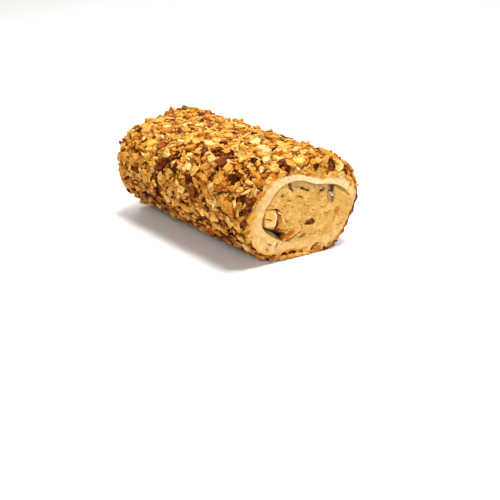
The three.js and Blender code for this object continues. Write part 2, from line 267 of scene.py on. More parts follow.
# %% [markdown]
# Food is uneven at every size. Smooth noise gives soft lumps, and a soft step turns a distance into
# a mask: for a pit, a crack or a patch of another colour. A crack or a smear is drawn as a line of a
# few points across the cut.

# %% Helpers: noise and masks
def uneven(points, size, shift=0.0):
    """Smooth noise between about -1 and 1 at each point, with bumps of that size in mm."""
    return np.array([noise.noise(Vector(point)) for point in points / size + shift])


def relief(points, layers):
    """Layers of noise, added up. Each has a height and a size in mm, and a shift."""
    return sum(height * uneven(points, size, shift) for height, size, shift in layers)


def step_up(value, low, high):
    """0 up to the low value, 1 from the high one on, and a soft step between them."""
    part = np.clip((value - low) / (high - low), 0, 1)
    return part * part * (3 - 2 * part)


# %% Helpers: how far from a line or an outline
def from_line(points, line):
    """How far points of a cut lie from a line through (y, z) places."""
    flat, line = points[:, 1:], np.array(line, float)
    far = np.linalg.norm(flat - line[0], axis=1)
    for a, b in zip(line[:-1], line[1:]):
        part = np.clip((flat - a) @ (b - a) / ((b - a) @ (b - a)), 0, 1)
        far = np.minimum(far, np.linalg.norm(flat - a - part[:, None] * (b - a), axis=1))
    return far


def into_outline(points, corners):
    """How far inside a closed outline points of a cut lie. It is negative outside."""
    y, z = points[:, 1], points[:, 2]
    inside = np.zeros(len(points), bool)
    for (y1, z1), (y2, z2) in zip(corners, corners[1:] + corners[:1]):
        crossing = y1 + (z - z1) / (z2 - z1 + 1e-9) * (y2 - y1)
        inside ^= ((z1 > z) != (z2 > z)) & (y < crossing)
    far = from_line(points, corners + corners[:1])
    return np.where(inside, far, -far)


# %% Helpers: colours
def colour(red, green, blue):
    """A colour as picked from a picture, 0 to 255, turned to the linear light that shaders use."""
    part = np.array([red, green, blue]) / 255
    return np.where(part <= 0.04045, part / 12.92, ((part + 0.055) / 1.055) ** 2.4)


def tinted(tone, new, share):
    """A tone that has gone a share of the way to a new one."""
    return tone + np.asarray(share)[..., None] * (new - tone)


def patched(tone, points, patches):
    """A tone with soft patches, each of a colour, a strength, a size, a shift and an edge."""
    for new, strength, size, shift, edge in patches:
        tone = tinted(tone, new, strength * step_up(uneven(points, size, shift), *edge))
    return tone


def mottled(tone, points, change, size, shift):
    """A tone that is lighter in some places and darker in others."""
    return tone * (1 + change * uneven(points, size, shift))[:, None]


# %% [markdown]
# ## Materials
# Nut flesh, nougat and nut paste all let light in a little, so each has some subsurface scattering.
# All three are uneven at several sizes: large soft patches, and a fine grain that a bump map gives.
# Broken nut has small crags besides. The colour comes from the `tone` attribute, and the patches make
# it lighter and darker.

# %% Helpers: nodes that the materials share
USUAL_NOISE = (0.3, 0.7)  # noise rarely leaves this range
CRAG_SIZE = 0.9  # of the facets on a broken side


def texture(tree, kind, size_mm):
    """A procedural texture that is laid out by the piece's own coordinates."""
    place = tree.nodes.new("ShaderNodeTexCoord")
    made = tree.nodes.new(kind)
    made.inputs["Scale"].default_value = 1000 / size_mm
    tree.links.new(place.outputs["Object"], made.inputs["Vector"])
    return made


def noise_of(tree, size_mm, detail):
    """Soft noise with features of about a size."""
    made = texture(tree, "ShaderNodeTexNoise", size_mm)
    made.inputs["Detail"].default_value = detail
    return made.outputs["Fac"]


def ranged(tree, value, low, high):
    """Noise that is spread from its usual range over another one."""
    span = tree.nodes.new("ShaderNodeMapRange")
    span.inputs["From Min"].default_value = USUAL_NOISE[0]
    span.inputs["From Max"].default_value = USUAL_NOISE[1]
    span.inputs["To Min"].default_value = low
    span.inputs["To Max"].default_value = high
    tree.links.new(value, span.inputs["Value"])
    return span.outputs["Result"]


def bumped(tree, height, depth_mm, under=None):
    """A bump map, on top of another one if there is one under it."""
    bump = tree.nodes.new("ShaderNodeBump")
    bump.inputs["Distance"].default_value = depth_mm / 1000
    tree.links.new(height, bump.inputs["Height"])
    if under is not None:
        tree.links.new(under, bump.inputs["Normal"])
    return bump.outputs["Normal"]


# %% Food materials
FLESH_DEPTH = (1.0, 0.45, 0.2)  # how far red, green and blue light go, as shares of the scale
PATCH_DETAIL, GRAIN_DETAIL = 4, 6


def food_material(name, patches, grain, rough, soft, shine=0.3, crag=0):
    """Patches have a size and a change of light, grain a size and a height, soft flesh a depth."""
    made, tree, shader = material(name)
    tone = tree.nodes.new("ShaderNodeAttribute")
    tone.attribute_name = "tone"
    patch_mm, change = patches
    light = ranged(tree, noise_of(tree, patch_mm, PATCH_DETAIL), 1 - change, 1 + change)
    shade = tree.nodes.new("ShaderNodeVectorMath")
    shade.operation = "SCALE"
    tree.links.new(tone.outputs["Color"], shade.inputs[0])
    tree.links.new(light, shade.inputs["Scale"])
    tree.links.new(shade.outputs["Vector"], shader.inputs["Base Color"])

    grain_mm, grain_height = grain
    fine = noise_of(tree, grain_mm, GRAIN_DETAIL)
    tree.links.new(ranged(tree, fine, *rough), shader.inputs["Roughness"])
    normal = bumped(tree, fine, grain_height)
    if crag:
        cells = texture(tree, "ShaderNodeTexVoronoi", CRAG_SIZE)
        normal = bumped(tree, cells.outputs["Distance"], crag, normal)
    tree.links.new(normal, shader.inputs["Normal"])

    shader.inputs["Specular IOR Level"].default_value = shine
    shader.inputs["Subsurface Weight"].default_value = soft[0]
    shader.inputs["Subsurface Radius"].default_value = FLESH_DEPTH
    shader.inputs["Subsurface Scale"].default_value = soft[1] / 1000
    print("material", name)
    return made


# %% The six finishes
nougat_finish = food_material(
    "soft_nougat", patches=(2.0, 0.09), grain=(0.4, 0.09), rough=(0.42, 0.6), soft=(0.22, 0.9), shine=0.25,
)
filling_finish = food_material(
    "nut_paste", patches=(0.7, 0.15), grain=(0.3, 0.22), rough=(0.45, 0.65), soft=(0.1, 0.3),
)
nut_finish = food_material(
    "roasted_nut", patches=(0.7, 0.22), grain=(0.22, 0.1), rough=(0.45, 0.7), soft=(0.04, 0.3),
    shine=0.1, crag=0.45,
)
skin_finish = food_material(
    "nut_skin", patches=(0.6, 0.35), grain=(0.15, 0.06), rough=(0.4, 0.6), soft=(0.03, 0.3),
    shine=0.03, crag=0.3,
)
kernel_finish = food_material(
    "cut_kernel", patches=(0.7, 0.18), grain=(0.22, 0.1), rough=(0.5, 0.7), soft=(0.06, 0.3), shine=0.07,
)
glazed_finish = food_material(
    "moist_kernel", patches=(0.8, 0.2), grain=(0.4, 0.3), rough=(0.1, 0.3), soft=(0.1, 0.4), shine=0.22,
)

# %% [markdown]
# ## The crust's surface
# The nougat under the nuts follows the roll's outline, is drawn in to the bare ring at each cut where
# the knife dragged it, and is flat underneath, where the roll has lain on the table. The soft roll was
# pinched at its lower left side, which left a groove, and the front ring's edge dips at two places.

# %% The surface that the nuts lie on
EDGE_ROUND = 4.5  # how far from a cut the crust is drawn in
EDGE_POWER = 2.4  # 2 would draw it in along a quarter of an ellipse, more is squarer
SEAT_SOFTNESS = 2.0
GROOVE_X, GROOVE_ANGLE = -18.0, 215.0
GROOVE_DEPTH, GROOVE_LENGTH, GROOVE_SPREAD = 1.1, 1.6, 28.0
RING_DENTS = [(50, 42, 1.0), (258, 34, 0.7)]  # at the front cut: angle, spread and depth
NOUGAT_LEVEL = -1.7  # under the outline that the outer nuts reach


def bump_at(angle, centre, spread):
    """1 at the centre, and down to 0 over the spread on either side, both in degrees."""
    away = np.abs((angle - np.radians(centre) + TURN / 2) % TURN - TURN / 2)
    return 0.5 + 0.5 * np.cos(np.pi * np.minimum(away / np.radians(spread), 1))


def seated(z):
    """Heights over the axis, with what would reach through the table pressed flat on it."""
    near = np.maximum(SEAT_SOFTNESS - np.abs(z + AXIS_HEIGHT), 0)
    return np.maximum(z, -AXIS_HEIGHT) + near**2 / (4 * SEAT_SOFTNESS)


def crust(angle, share, level=NOUGAT_LEVEL):
    """Points of the crust, for arrays of angles and shares of the same shape."""
    from_cut = np.minimum(share, 1 - share) * LENGTH
    inward = np.clip(1 - from_cut / EDGE_ROUND, 0, 1)
    full = (1 - inward**EDGE_POWER) ** (1 / EDGE_POWER)
    dent = share * sum(deep * bump_at(angle, at, spread) for at, spread, deep in RING_DENTS)
    ring_y, ring_z = on_outline(mixed(RING_BACK, RING_FRONT, share), angle, -dent)
    along = (along_roll(share, on_outline(BODY, angle)[0]) - GROOVE_X) / GROOVE_LENGTH
    groove = GROOVE_DEPTH * bump_at(angle, GROOVE_ANGLE, GROOVE_SPREAD) * np.exp(-(along**2))
    body_y, body_z = on_outline(BODY, angle, level - groove)
    y = ring_y + full * (body_y - ring_y)
    z = seated(ring_z + full * (body_z - ring_z))
    return np.stack([along_roll(share, y), y, z], axis=-1)

# %% Which way it faces
NORMAL_STEP = 0.003  # of a turn, and of the length


def crust_normal(angle, share):
    """Directions straight out of the crust, from one step round it and one along it."""
    before, behind = angle - NORMAL_STEP * TURN, np.maximum(share - NORMAL_STEP, 0)
    after, ahead = angle + NORMAL_STEP * TURN, np.minimum(share + NORMAL_STEP, 1)
    round_it = crust(after, share) - crust(before, share)
    normal = np.cross(round_it, crust(angle, ahead) - crust(angle, behind))
    return normal / np.linalg.norm(normal, axis=-1, keepdims=True)


# %% [markdown]
# ## Places on the crust
# A place on the crust is an angle round the roll and a share of the way from cut to cut. The nuts have
# to lie evenly, also over the rounded edges of the cuts, so a fine grid of the crust tells how long
# the way over it is. The same grid finds the place that shows at a pixel of the photograph: of all
# its points that face the camera, the one that lands nearest to the pixel.

# %% A grid over the crust
ROUND_STEPS, PATH_STEPS = 240, 260
NUT_TOPS = -0.5  # the level of the crust that shows

grid_angles = np.linspace(0, TURN, ROUND_STEPS + 1)
grid_shares = 0.5 - 0.5 * np.cos(np.pi * np.linspace(0, 1, PATH_STEPS + 1))
on_grid = np.meshgrid(grid_angles, grid_shares, indexing="ij")
grid = crust(*on_grid, NUT_TOPS)
path = np.linalg.norm(np.diff(grid, axis=1), axis=2).cumsum(axis=1)
path = np.hstack([np.zeros((len(path), 1)), path])
print(f"from cut to cut over the top: {path[ROUND_STEPS // 4, -1]:.0f} mm")

# %% Find what shows at a pixel
facing = np.sum(crust_normal(*on_grid) * (EYE - grid), axis=-1) > 0
seen = (grid - EYE) @ np.stack([image_right, image_up, -toward_eye], axis=1)
pixels = IMAGE / 2 + FOCAL * seen[..., :2] * [1, -1] / seen[..., 2:]


def place_at(x, y):
    """Angle, share and the size of a pixel in mm where the crust shows at a pixel."""
    off = np.where(facing, np.hypot(pixels[..., 0] - x, pixels[..., 1] - y), np.inf)
    row, column = np.unravel_index(off.argmin(), off.shape)
    return grid_angles[row], grid_shares[column], seen[row, column, 2] / FOCAL


print("the crust shows at", facing.sum(), "of", facing.size, "places of the grid")

# %% [markdown]
# ## The nougat
# One skin makes the whole nougat: along the outside from the back cut to the front, across the front
# ring, back along the inside and across the back ring. The filling and the nougat share an edge, which
# wavers. At the lower left of the front cut the filling has shrunk away from the nougat's wall, and
# the wall slopes down into the gap.

# %% The edge that nougat and filling share
AROUND = 320
PARTED = (150, 62)  # angle and spread where nougat and filling part most clearly
LEAST_PARTED = 0.1  # and how much of that there is elsewhere
SHRINK_ANGLE, SHRINK_SPREAD = 212.0, 30.0  # where the filling has shrunk away
EDGE_WAVES = [  # of the filling's edge at the front cut: angle, spread and height
    (115, 30, 0.25), (79, 22, -0.3), (43, 30, 0.25), (156, 28, -0.65), (187, 18, 0.5), (247, 40, 0.45),
]
angles = TURN * np.arange(AROUND) / AROUND
parted = LEAST_PARTED + (1 - LEAST_PARTED) * bump_at(angles, *PARTED)
in_gap = bump_at(angles, SHRINK_ANGLE, SHRINK_SPREAD)


def filling_edge(share, grow):
    """The outline of the filling. At the front cut it wavers a little more than in the CAD model."""
    shape = mixed(FILLING_BACK, FILLING_FRONT, np.full(AROUND, share))
    waves = sum(height * bump_at(angles, at, spread) for at, spread, height in EDGE_WAVES)
    y, z = on_outline(shape, angles, grow + share * waves)
    return np.stack([along_roll(share, y), y, z], axis=-1)


# %% [markdown]
# The knife left both rings slightly wavy, with fine marks along the way that it went, and it rounded
# their inner edge. Noise makes both: stretched along one direction, it looks dragged.

# %% Rows across a ring
RING_STEPS = 26
WALL_GAP = 0.12
INNER_ROUND = 0.55
RING_WAVES = [(0.13, 4.0, 0.0), (0.06, 1.2, 0.0)]  # height, size and shift
DRAG_STRETCH, DRAG_SIZE, DRAG_HEIGHT = [1, 2.5, 0.6], 0.7, 0.06


def ring_rows(share, end):
    """Rows across the bare nougat of a cut, from its outer edge to its inner one."""
    outer = crust(angles, np.full(AROUND, share))
    inner = filling_edge(share, WALL_GAP * parted)
    width = np.linalg.norm(outer - inner, axis=1)
    rows = []
    for part in (np.arange(RING_STEPS) + 0.5) / RING_STEPS:
        row = outer + part * (inner - outer)
        row[:, 0] = along_roll(share, row[:, 1])
        wavy = relief(row, RING_WAVES) + DRAG_HEIGHT * uneven(row * DRAG_STRETCH, DRAG_SIZE)
        turned = np.clip(1 - (1 - part) * width / INNER_ROUND, 0, 1)
        row[:, 0] += end * (wavy - INNER_ROUND * parted * (1 - np.sqrt(1 - turned**2)))
        rows.append(row)
    return rows


# %% The nougat's skin
BODY_STEPS = 60
WALL_SHARES = [0.997, 0.99, 0.98, 0.965, 0.95, 0.93, 0.9, 0.75, 0.5, 0.25, 0.1, 0.03, 0.01, 0.003]
WALL_SLOPE, WALL_SLOPE_DEPTH = 1.75, 3.4
SLOPING = (0.5, 0.9)  # shares of the length between which the slope sets in

body_shares = 0.5 - 0.5 * np.cos(np.pi * np.linspace(0, 1, BODY_STEPS))
body = [crust(angles, np.full(AROUND, share)) for share in body_shares]
wall = []
for share in WALL_SHARES:
    slope = WALL_SLOPE * in_gap * step_up((1 - share) * LENGTH, 0, WALL_SLOPE_DEPTH)
    wall.append(filling_edge(share, WALL_GAP * parted - slope * step_up(share, *SLOPING)))
nougat_points, nougat_faces = skin(body + ring_rows(1, 1) + wall + ring_rows(0, -1)[::-1], JOINED)
row_number = np.arange(len(nougat_points)) // AROUND
column = np.arange(len(nougat_points)) % AROUND
print(row_number[-1] + 1, "rows of", AROUND, "points")

# %% [markdown]
# The nougat's parts differ in colour: cream on the rings, browner down in the gap, and dark with oil
# and nut dust under the nuts, with painted shade between them. So the first thing is to know which
# part each point belongs to.

# %% Parts of the nougat
RING_END = BODY_STEPS + RING_STEPS
COVERED, COVERED_FROM = 0.9, 2  # how much the nuts hide, and from which row on

on_body = row_number < BODY_STEPS
on_front_ring = (row_number >= BODY_STEPS) & (row_number < RING_END)
on_wall = (row_number >= RING_END) & (row_number < RING_END + len(wall))
from_end = np.minimum(row_number, BODY_STEPS - 1 - row_number)
bare = np.where(on_body, 1 - COVERED * step_up(from_end, 0, COVERED_FROM), 1.0)
across_front = (row_number - BODY_STEPS) / RING_STEPS
across_back = (row_number[-1] - row_number) / RING_STEPS
across_ring = np.where(on_front_ring, across_front, across_back)
print(on_front_ring.sum(), "points on the front ring,", on_wall.sum(), "on the wall")

# %% [markdown]
# The cut nougat is cream with yellower and pinker patches. Painted light makes it lighter along its
# top, and painted shade makes it darker along its bottom. Pale streaks along the knife's way are
# painted highlights, and the knife dragged nut dust into it, most of all at its outer edge.

# %% Colours of the nougat
CREAM = colour(222, 184, 115)
CREAM_PINK = colour(228, 188, 119)
CREAM_YELLOW = colour(222, 181, 107)
CREAM_DEEP = colour(214, 160, 84)
CREAM_PAINTED_LIGHT = colour(254, 228, 178)
# the colour of painted highlights, laid in pale streaks
PAINTED_HIGHLIGHT_STREAK = colour(252, 224, 168)
DUST_TONE = colour(222, 160, 76)
GAP_TONE = colour(202, 160, 94)
# dark nougat under the nuts: nut dust, and painted shade in the gaps between them
UNDER_NUTS_DUST_AND_SHADE = colour(104, 46, 8)
CREAM_PATCHES = [  # colour, strength, size, shift and edge
    (CREAM_YELLOW, 1.0, 2.6, 4.0, (-0.1, 0.5)),
    (CREAM_PINK, 1.0, 1.9, 8.0, (0.0, 0.5)),
    (CREAM_DEEP, 0.7, 1.6, 12.0, (0.0, 0.5)),
    (CREAM_DEEP, 0.5, 0.6, 14.0, (0.1, 0.5)),
]
# painted light along the nougat's top and painted shade along its bottom, by angle
CREAM_PAINTED_LIGHT_AND_SHADE = [(CREAM_PAINTED_LIGHT, 0.75, 78, 100), (CREAM_DEEP, 0.35, 270, 75)]  # with angle and spread
STREAK_SIZE, STREAK_SHIFT = 1.1, 30.0
# the pale streaks are painted highlights, the darker ones nut dust
STREAKS = [  # colour, strength, which side of the noise, and edge
    (PAINTED_HIGHLIGHT_STREAK, 0.5, 1, (0.15, 0.5)),
    (DUST_TONE, 0.45, -1, (0.2, 0.55)),
]
DUSTY, DUSTY_EDGE = 0.75, (0.02, 0.3)  # how much, and over which share of the ring it ends
DUSTY_WOBBLE = (0.22, 0.9, 26.0)

cream = patched(CREAM, nougat_points, CREAM_PATCHES)
# paint light along the top and shade along the bottom
for new, strength, at, spread in CREAM_PAINTED_LIGHT_AND_SHADE:
    cream = tinted(cream, new, strength * bump_at(angles, at, spread)[column])
cream = tinted(cream, GAP_TONE, on_wall.astype(float))
streaks = uneven(nougat_points * DRAG_STRETCH, STREAK_SIZE, STREAK_SHIFT)
# paint highlights in pale streaks, and nut dust in darker ones
for new, strength, side, edge in STREAKS:
    cream = tinted(cream, new, strength * step_up(side * streaks, *edge))
dusty = across_ring + relief(nougat_points, [DUSTY_WOBBLE])
cream = tinted(cream, DUST_TONE, DUSTY * (1 - step_up(dusty, *DUSTY_EDGE)) * (1 - on_body))
# where nuts cover it, the nougat takes the tone of nut dust and painted shade
nougat_tone = tinted(UNDER_NUTS_DUST_AND_SHADE, cream, bare)
print("mean colour of the nougat:", nougat_tone.mean(axis=0).round(2))

# %% [markdown]
# A few pits and nicks show on the front ring. Each is a line of places with a half width and a depth,
# and is pressed into the ring and darkened with painted shade, the more the deeper it is. Under the
# nuts the nougat is lumpy.

# %% Marks on the front ring
RING_MARKS = [  # (y, z) places along it, half width and depth
    ([(-10.2, -8.0), (-9.5, -8.7)], 0.24, 0.5),
    ([(-7.4, -8.4), (-7.9, -9.7)], 0.25, 0.5),
    ([(-9.8, 7.2)], 0.2, 0.2),
    ([(-11.2, 3.9)], 0.25, 0.3),
    ([(3.0, 10.9)], 0.2, 0.3),
    ([(-4.6, 11.8)], 0.22, 0.25),
    ([(-3.4, -11.6), (-2.6, -12.0), (-1.9, -11.9)], 0.16, 0.15),
    ([(9.8, -10.4)], 0.25, 0.25),
    ([(-13.4, -4.6)], 0.2, 0.2),
    ([(5.4, -12.1), (4.3, -12.9), (4.0, -14.2)], 0.5, 0.8),
    ([(5.6, -12.0), (6.8, -12.2)], 0.25, 0.3),
    ([(-6.4, 9.0), (-5.6, 9.8)], 0.2, 0.2),
    ([(0.6, -12.3), (1.2, -12.7), (1.9, -12.6)], 0.24, 0.2),
    ([(-10.9, -9.6), (-10.4, -10.4)], 0.3, 0.3),
    ([(12.2, -8.4)], 0.2, 0.2),
]
MARK_TONE = colour(120, 68, 22)
MARK_RAGGED, RAGGED_SIZE = 0.16, 0.5
RING_MARK_EDGE = (0.5, 1.3)  # in half widths
MARK_SHADE, SHADE_BY_DEPTH = 0.3, 1.3  # how dark a mark is at least, and how much more for each mm
LUMP_HEIGHT, LUMP_SIZE = 0.3, 2.0
LUMPS_FADE = 2.0  # over the table

out = nougat_points * [0, 1, 1] / np.linalg.norm(nougat_points[:, 1:], axis=1, keepdims=True)
off_seat = step_up(nougat_points[:, 2], -AXIS_HEIGHT, LUMPS_FADE - AXIS_HEIGHT)
lump = np.where(on_body, LUMP_HEIGHT * uneven(nougat_points, LUMP_SIZE) * off_seat, 0.0)
for line, half, deep in RING_MARKS:
    far = from_line(nougat_points, line) + MARK_RAGGED * uneven(nougat_points, RAGGED_SIZE)
    mark = np.where(on_front_ring, 1 - step_up(far / half, *RING_MARK_EDGE), 0)
    nougat_points[:, 0] -= deep * mark
    # painted shade in the mark, darker for a deeper one
    nougat_tone = tinted(nougat_tone, MARK_TONE, min(MARK_SHADE + SHADE_BY_DEPTH * deep, 1) * mark)
nougat_points += lump[:, None] * out

nougat = add_piece(
    "nougat", nougat_points, nougat_faces, nougat_finish, SMOOTH, nougat_tone,
)
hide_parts("nougat_with_nuts")

# %% [markdown]
# ## The kernels in the cuts
# Larger kernels lie in the filling, and the knife went through some of them. What shows of each is a
# flat, sharp-cornered face. Its outline is a few corners, as (y, z) on the cut, for the six that the
# photograph shows. The four in the back cut, which it doesn't show, are rounded blocks.

# %% Outlines of the kernels
FRONT_KERNELS = [
    {"slot": "kernel_pale", "gap": 0.16, "edge": [
        (-11.2, 3.4), (-8.5, 2.9), (-8.0, 1.5), (-8.1, -0.7), (-8.3, -2.4), (-9.0, -2.8), (-11.6, -2.1),
        (-11.5, 0.5)]},
    {"slot": "kernel_skin", "gap": 0.14, "edge": [
        (-8.6, 3.0), (-7.6, 2.9), (-6.6, 1.6), (-5.8, 0.6), (-5.2, -1.4), (-5.0, -3.2), (-5.6, -4.6),
        (-7.0, -4.6), (-8.3, -3.3), (-7.8, -2.0), (-7.9, 1.4)]},
    {"slot": "kernel_roasted", "gap": 0.02, "edge": [
        (-2.0, -4.4), (-0.9, -5.0), (-1.4, -6.2), (-3.8, -7.8), (-5.1, -8.3), (-6.2, -8.0), (-5.4, -6.6),
        (-4.0, -5.2)]},
    {"slot": "kernel_skin", "gap": -0.1, "edge": [
        (1.0, -4.2), (1.7, -3.0), (3.5, -2.6), (4.4, -4.1), (3.6, -4.9), (1.6, -4.5)]},
    {"slot": "kernel_roasted", "gap": -0.12, "edge": [
        (10.4, -1.0), (11.4, -0.6), (12.5, -1.2), (12.5, -2.4), (11.5, -3.2), (10.5, -2.6)]},
    {"slot": "kernel_glazed", "gap": -0.1, "edge": [
        (8.5, 7.5), (10.0, 7.1), (10.1, 5.0), (10.5, 2.6), (9.6, 0.8), (8.3, 2.2), (7.8, 5.0)]},
]
BACK_BLOCKS = [  # slot, middle (y, z), width, height and turn
    ("kernel_roasted", (6.6, 3.2), 4.4, 5.4, -25),
    ("kernel_skin", (-7.4, -2.4), 5.8, 3.0, 35),
    ("kernel_pale", (0.4, -5.0), 3.2, 3.4, 10),
    ("kernel_glazed", (-4.6, 5.0), 2.6, 4.6, -40),
]

BLOCK_CORNERS, BLOCK_EGG = 9, 0.12


def block_edge(middle, wide, tall, turn):
    """The outline of a rounded block: an oval, slightly three-sided and turned."""
    turned = np.radians(turn)
    step = TURN * np.arange(BLOCK_CORNERS) / BLOCK_CORNERS + turned
    reach = 1 + BLOCK_EGG * np.cos(3 * step + wide)
    y, z = wide / 2 * reach * np.cos(step), tall / 2 * reach * np.sin(step)
    ys = middle[0] + y * np.cos(turned) - z * np.sin(turned)
    zs = middle[1] + y * np.sin(turned) + z * np.cos(turned)
    return list(zip(ys, zs))


BACK_KERNELS = [
    {"slot": slot, "gap": -0.04, "edge": block_edge(*block)} for slot, *block in BACK_BLOCKS
]
print(len(FRONT_KERNELS), "kernels in the front cut and", len(BACK_KERNELS), "in the back one")

# %% [markdown]
# ## The filling
# The filling is a dense nut paste. The knife smeared its cut face almost flat, and tore small pits and
# cracks in it. It lies a little lower than the nougat, most of all at the upper right, where the
# nougat's edge throws a shadow. At the lower left it has shrunk away, and one can look down the gap.
# The face gets a fine grid, so that all of this is real shape.

# %% The filling's rim
SIDE_SHARES = [0, 0.003, 0.01, 0.04, 0.15, 0.4, 0.7, 0.88, 0.95, 0.975, 0.99, 0.997, 1]
SHRINK_GAP, SHRINK_DEPTH = 2.4, 7.0
SHRINK_BROAD = 1.5  # above 1 the gap has its full width along more of the rim


def filling_rim(share):
    """The filling's outline where it shows, drawn in where it has shrunk."""
    fade = 1 - step_up((1 - share) * LENGTH, 0, SHRINK_DEPTH)
    shrunk = SHRINK_GAP * fade * np.minimum(SHRINK_BROAD * in_gap, 1)
    return filling_edge(share, -shrunk)


# %% The filling's rows
FACE_STEPS = 92
FACE_RELIEF = [(0.15, 4.5, 3.0), (0.18, 1.4, 5.0), (0.26, 0.62, 9.0)]  # height, size and shift
FACE_SUNK = 0.12
CREVICES = [(27, 24, 0.75), (75, 50, 0.4), (150, 40, 0.4), (208, 36, 0.3)]  # angle, spread, depth
CREVICE_WIDTH = (0.05, 0.7)  # from the rim, where it begins to rise and where it ends


def face_rows(share, shape, end):
    """Rows over a cut, from its rim towards its middle."""
    rim = filling_rim(share)
    centre = np.array([along_roll(share, shape[0]), shape[0], shape[1]])
    crevice = np.max([deep * bump_at(angles, *where) for *where, deep in CREVICES], axis=0)
    rows = []
    for part in np.linspace(1, 0, FACE_STEPS + 1)[1:-1]:
        row = centre + part * (rim - centre)
        from_rim = (1 - part) * np.linalg.norm(rim - centre, axis=1)
        wavy = relief(row, FACE_RELIEF) - FACE_SUNK
        row[:, 0] += end * (wavy - crevice * (1 - step_up(from_rim, *CREVICE_WIDTH)))
        rows.append(row)
    return rows


filling_rows = (
    face_rows(0, FILLING_BACK, -1)[::-1]
    + [filling_rim(share) for share in SIDE_SHARES]
    + face_rows(1, FILLING_FRONT, 1)
)
filling_points, filling_faces = skin(filling_rows, CAPPED)
row_number = np.arange(len(filling_points)) // AROUND
on_front = row_number >= len(filling_rows) - FACE_STEPS
on_back = row_number < FACE_STEPS
print(on_front.sum(), "points on the front cut with its rim, and", on_back.sum(), "on the back one")

# %% [markdown]
# The marks on the front cut are lines of a few places, with a half width, a depth and a colour. A
# negative depth is a crumb that stands up. The first four marks are a painted shadow under the
# nougat's upper edge, and pits and cracks are darkened with painted shade. Small loose pits and
# short bent cracks are spread over both cuts at random.

# %% Marks on the front cut
DARK = colour(70, 36, 12)
BROWN = colour(150, 96, 38)
UMBER = colour(112, 68, 20)
# the tone of a painted shadow under the nougat's upper edge
PAINTED_SHADOW_UNDER_RING = colour(178, 138, 84)
PALE = colour(250, 216, 148)
FRONT_MARKS = [  # places, half width, depth, colour and how much of it
    # painted shadow under the nougat's upper edge, in this and the next three marks
    ([(-3.4, 9.9), (-0.5, 9.6), (2.0, 8.9), (5.4, 7.3)], 1.5, 0.1, PAINTED_SHADOW_UNDER_RING, 0.75),
    ([(6.6, 7.2), (9.5, 6.6)], 0.9, 0.1, PAINTED_SHADOW_UNDER_RING, 0.7),
    ([(4.8, 6.5), (5.1, 4.6), (4.5, 3.6)], 0.8, 0.05, BROWN, 0.35),
    ([(10.6, 6.5), (12.9, 4.9), (15.1, 2.8)], 0.5, 0.3, BROWN, 0.6),
    # the dark colours of the cracks and pits below are painted shade in them
    ([(-4.2, 10.6), (-3.7, 9.0), (-3.1, 7.6)], 0.36, 0.9, DARK, 1.0),
    ([(-0.4, 8.3), (0.8, 7.5), (1.9, 6.8)], 0.34, 0.8, DARK, 1.0),
    ([(-0.1, 8.1)], 0.45, 0.8, DARK, 1.0),
    ([(1.8, 6.8)], 0.42, 0.8, DARK, 1.0),
    ([(0.4, 8.7), (1.9, 8.6)], 0.5, -0.15, colour(206, 160, 106), 0.7),
    ([(-2.4, 9.0), (-1.0, 8.7)], 0.25, 0.3, BROWN, 0.6),
    ([(5.6, 5.8), (6.3, 5.9), (6.8, 6.4)], 0.42, 0.9, DARK, 1.0),
    ([(-6.3, 6.7)], 0.5, 1.0, DARK, 1.0),
    ([(-1.7, 5.9), (-0.2, 5.3)], 0.25, 0.45, UMBER, 0.9),
    ([(-4.6, 5.3), (-4.0, 4.7), (-3.4, 4.9)], 0.19, 0.3, UMBER, 0.8),
    ([(2.0, 3.1)], 0.34, 0.5, DARK, 0.8),
    ([(0.7, 2.9), (1.4, 1.8), (2.7, 1.6)], 0.16, 0.3, UMBER, 0.6),
    ([(3.7, 0.2)], 0.34, 0.4, DARK, 0.7),
    ([(-2.9, -0.6)], 0.2, 0.25, BROWN, 0.5),
    ([(-2.0, 5.1)], 0.18, 0.2, BROWN, 0.5),
    ([(-0.3, -3.8)], 0.26, 0.25, BROWN, 0.7),
    ([(4.2, -8.0)], 0.26, 0.4, DARK, 0.7),
    ([(6.1, -7.9)], 0.26, 0.4, DARK, 0.7),
    ([(-11.85, 1.0), (-12.0, -0.6), (-12.0, -2.0)], 0.3, 0.9, DARK, 1.0),
    ([(10.7, -5.3)], 0.26, 0.3, BROWN, 0.6),
    ([(14.1, 0.8)], 0.16, 0.2, BROWN, 0.6),
    ([(7.4, -1.7), (8.8, -2.4), (8.2, -2.9)], 0.19, 0.35, UMBER, 0.7),
    ([(0.2, -4.8), (-0.3, -3.4), (0.0, -0.8), (2.3, -0.1)], 0.18, 0.25, BROWN, 0.4),
    ([(0.0, -3.4), (-0.1, -1.2), (0.7, -0.4)], 0.25, -0.12, PALE, 0.15),
    ([(1.6, -1.9), (2.9, -2.3)], 0.45, -0.25, colour(216, 178, 116), 0.6),
    ([(5.0, -2.8), (6.0, -4.6)], 0.5, -0.12, PALE, 0.2),
    ([(-0.4, -8.3), (1.3, -7.8)], 0.5, 0.45, colour(140, 84, 34), 0.85),
    ([(-4.0, -8.2), (-2.8, -7.8), (-1.4, -7.2), (-0.4, -6.7)], 0.24, 0.6, DARK, 0.9),
    ([(-5.4, -5.1), (-4.2, -4.4)], 0.3, 0.4, BROWN, 0.8),
    ([(-6.9, -5.2), (-5.5, -5.5)], 0.35, 0.35, colour(120, 44, 20), 0.8),
    ([(-2.2, -3.6), (-0.8, -3.4)], 0.7, 0.0, colour(236, 168, 92), 0.5),
]
print(len(FRONT_MARKS), "marks on the front cut")

# %% Helper: how deep marks are, and what colour
MARK_EDGE = (0.45, 1.3)  # in half widths: up to here a mark is full, and there it ends
MARK_WOBBLE, MARK_SWELL = (0.22, 0.5), (0.8, 0.8)  # how much and of what size


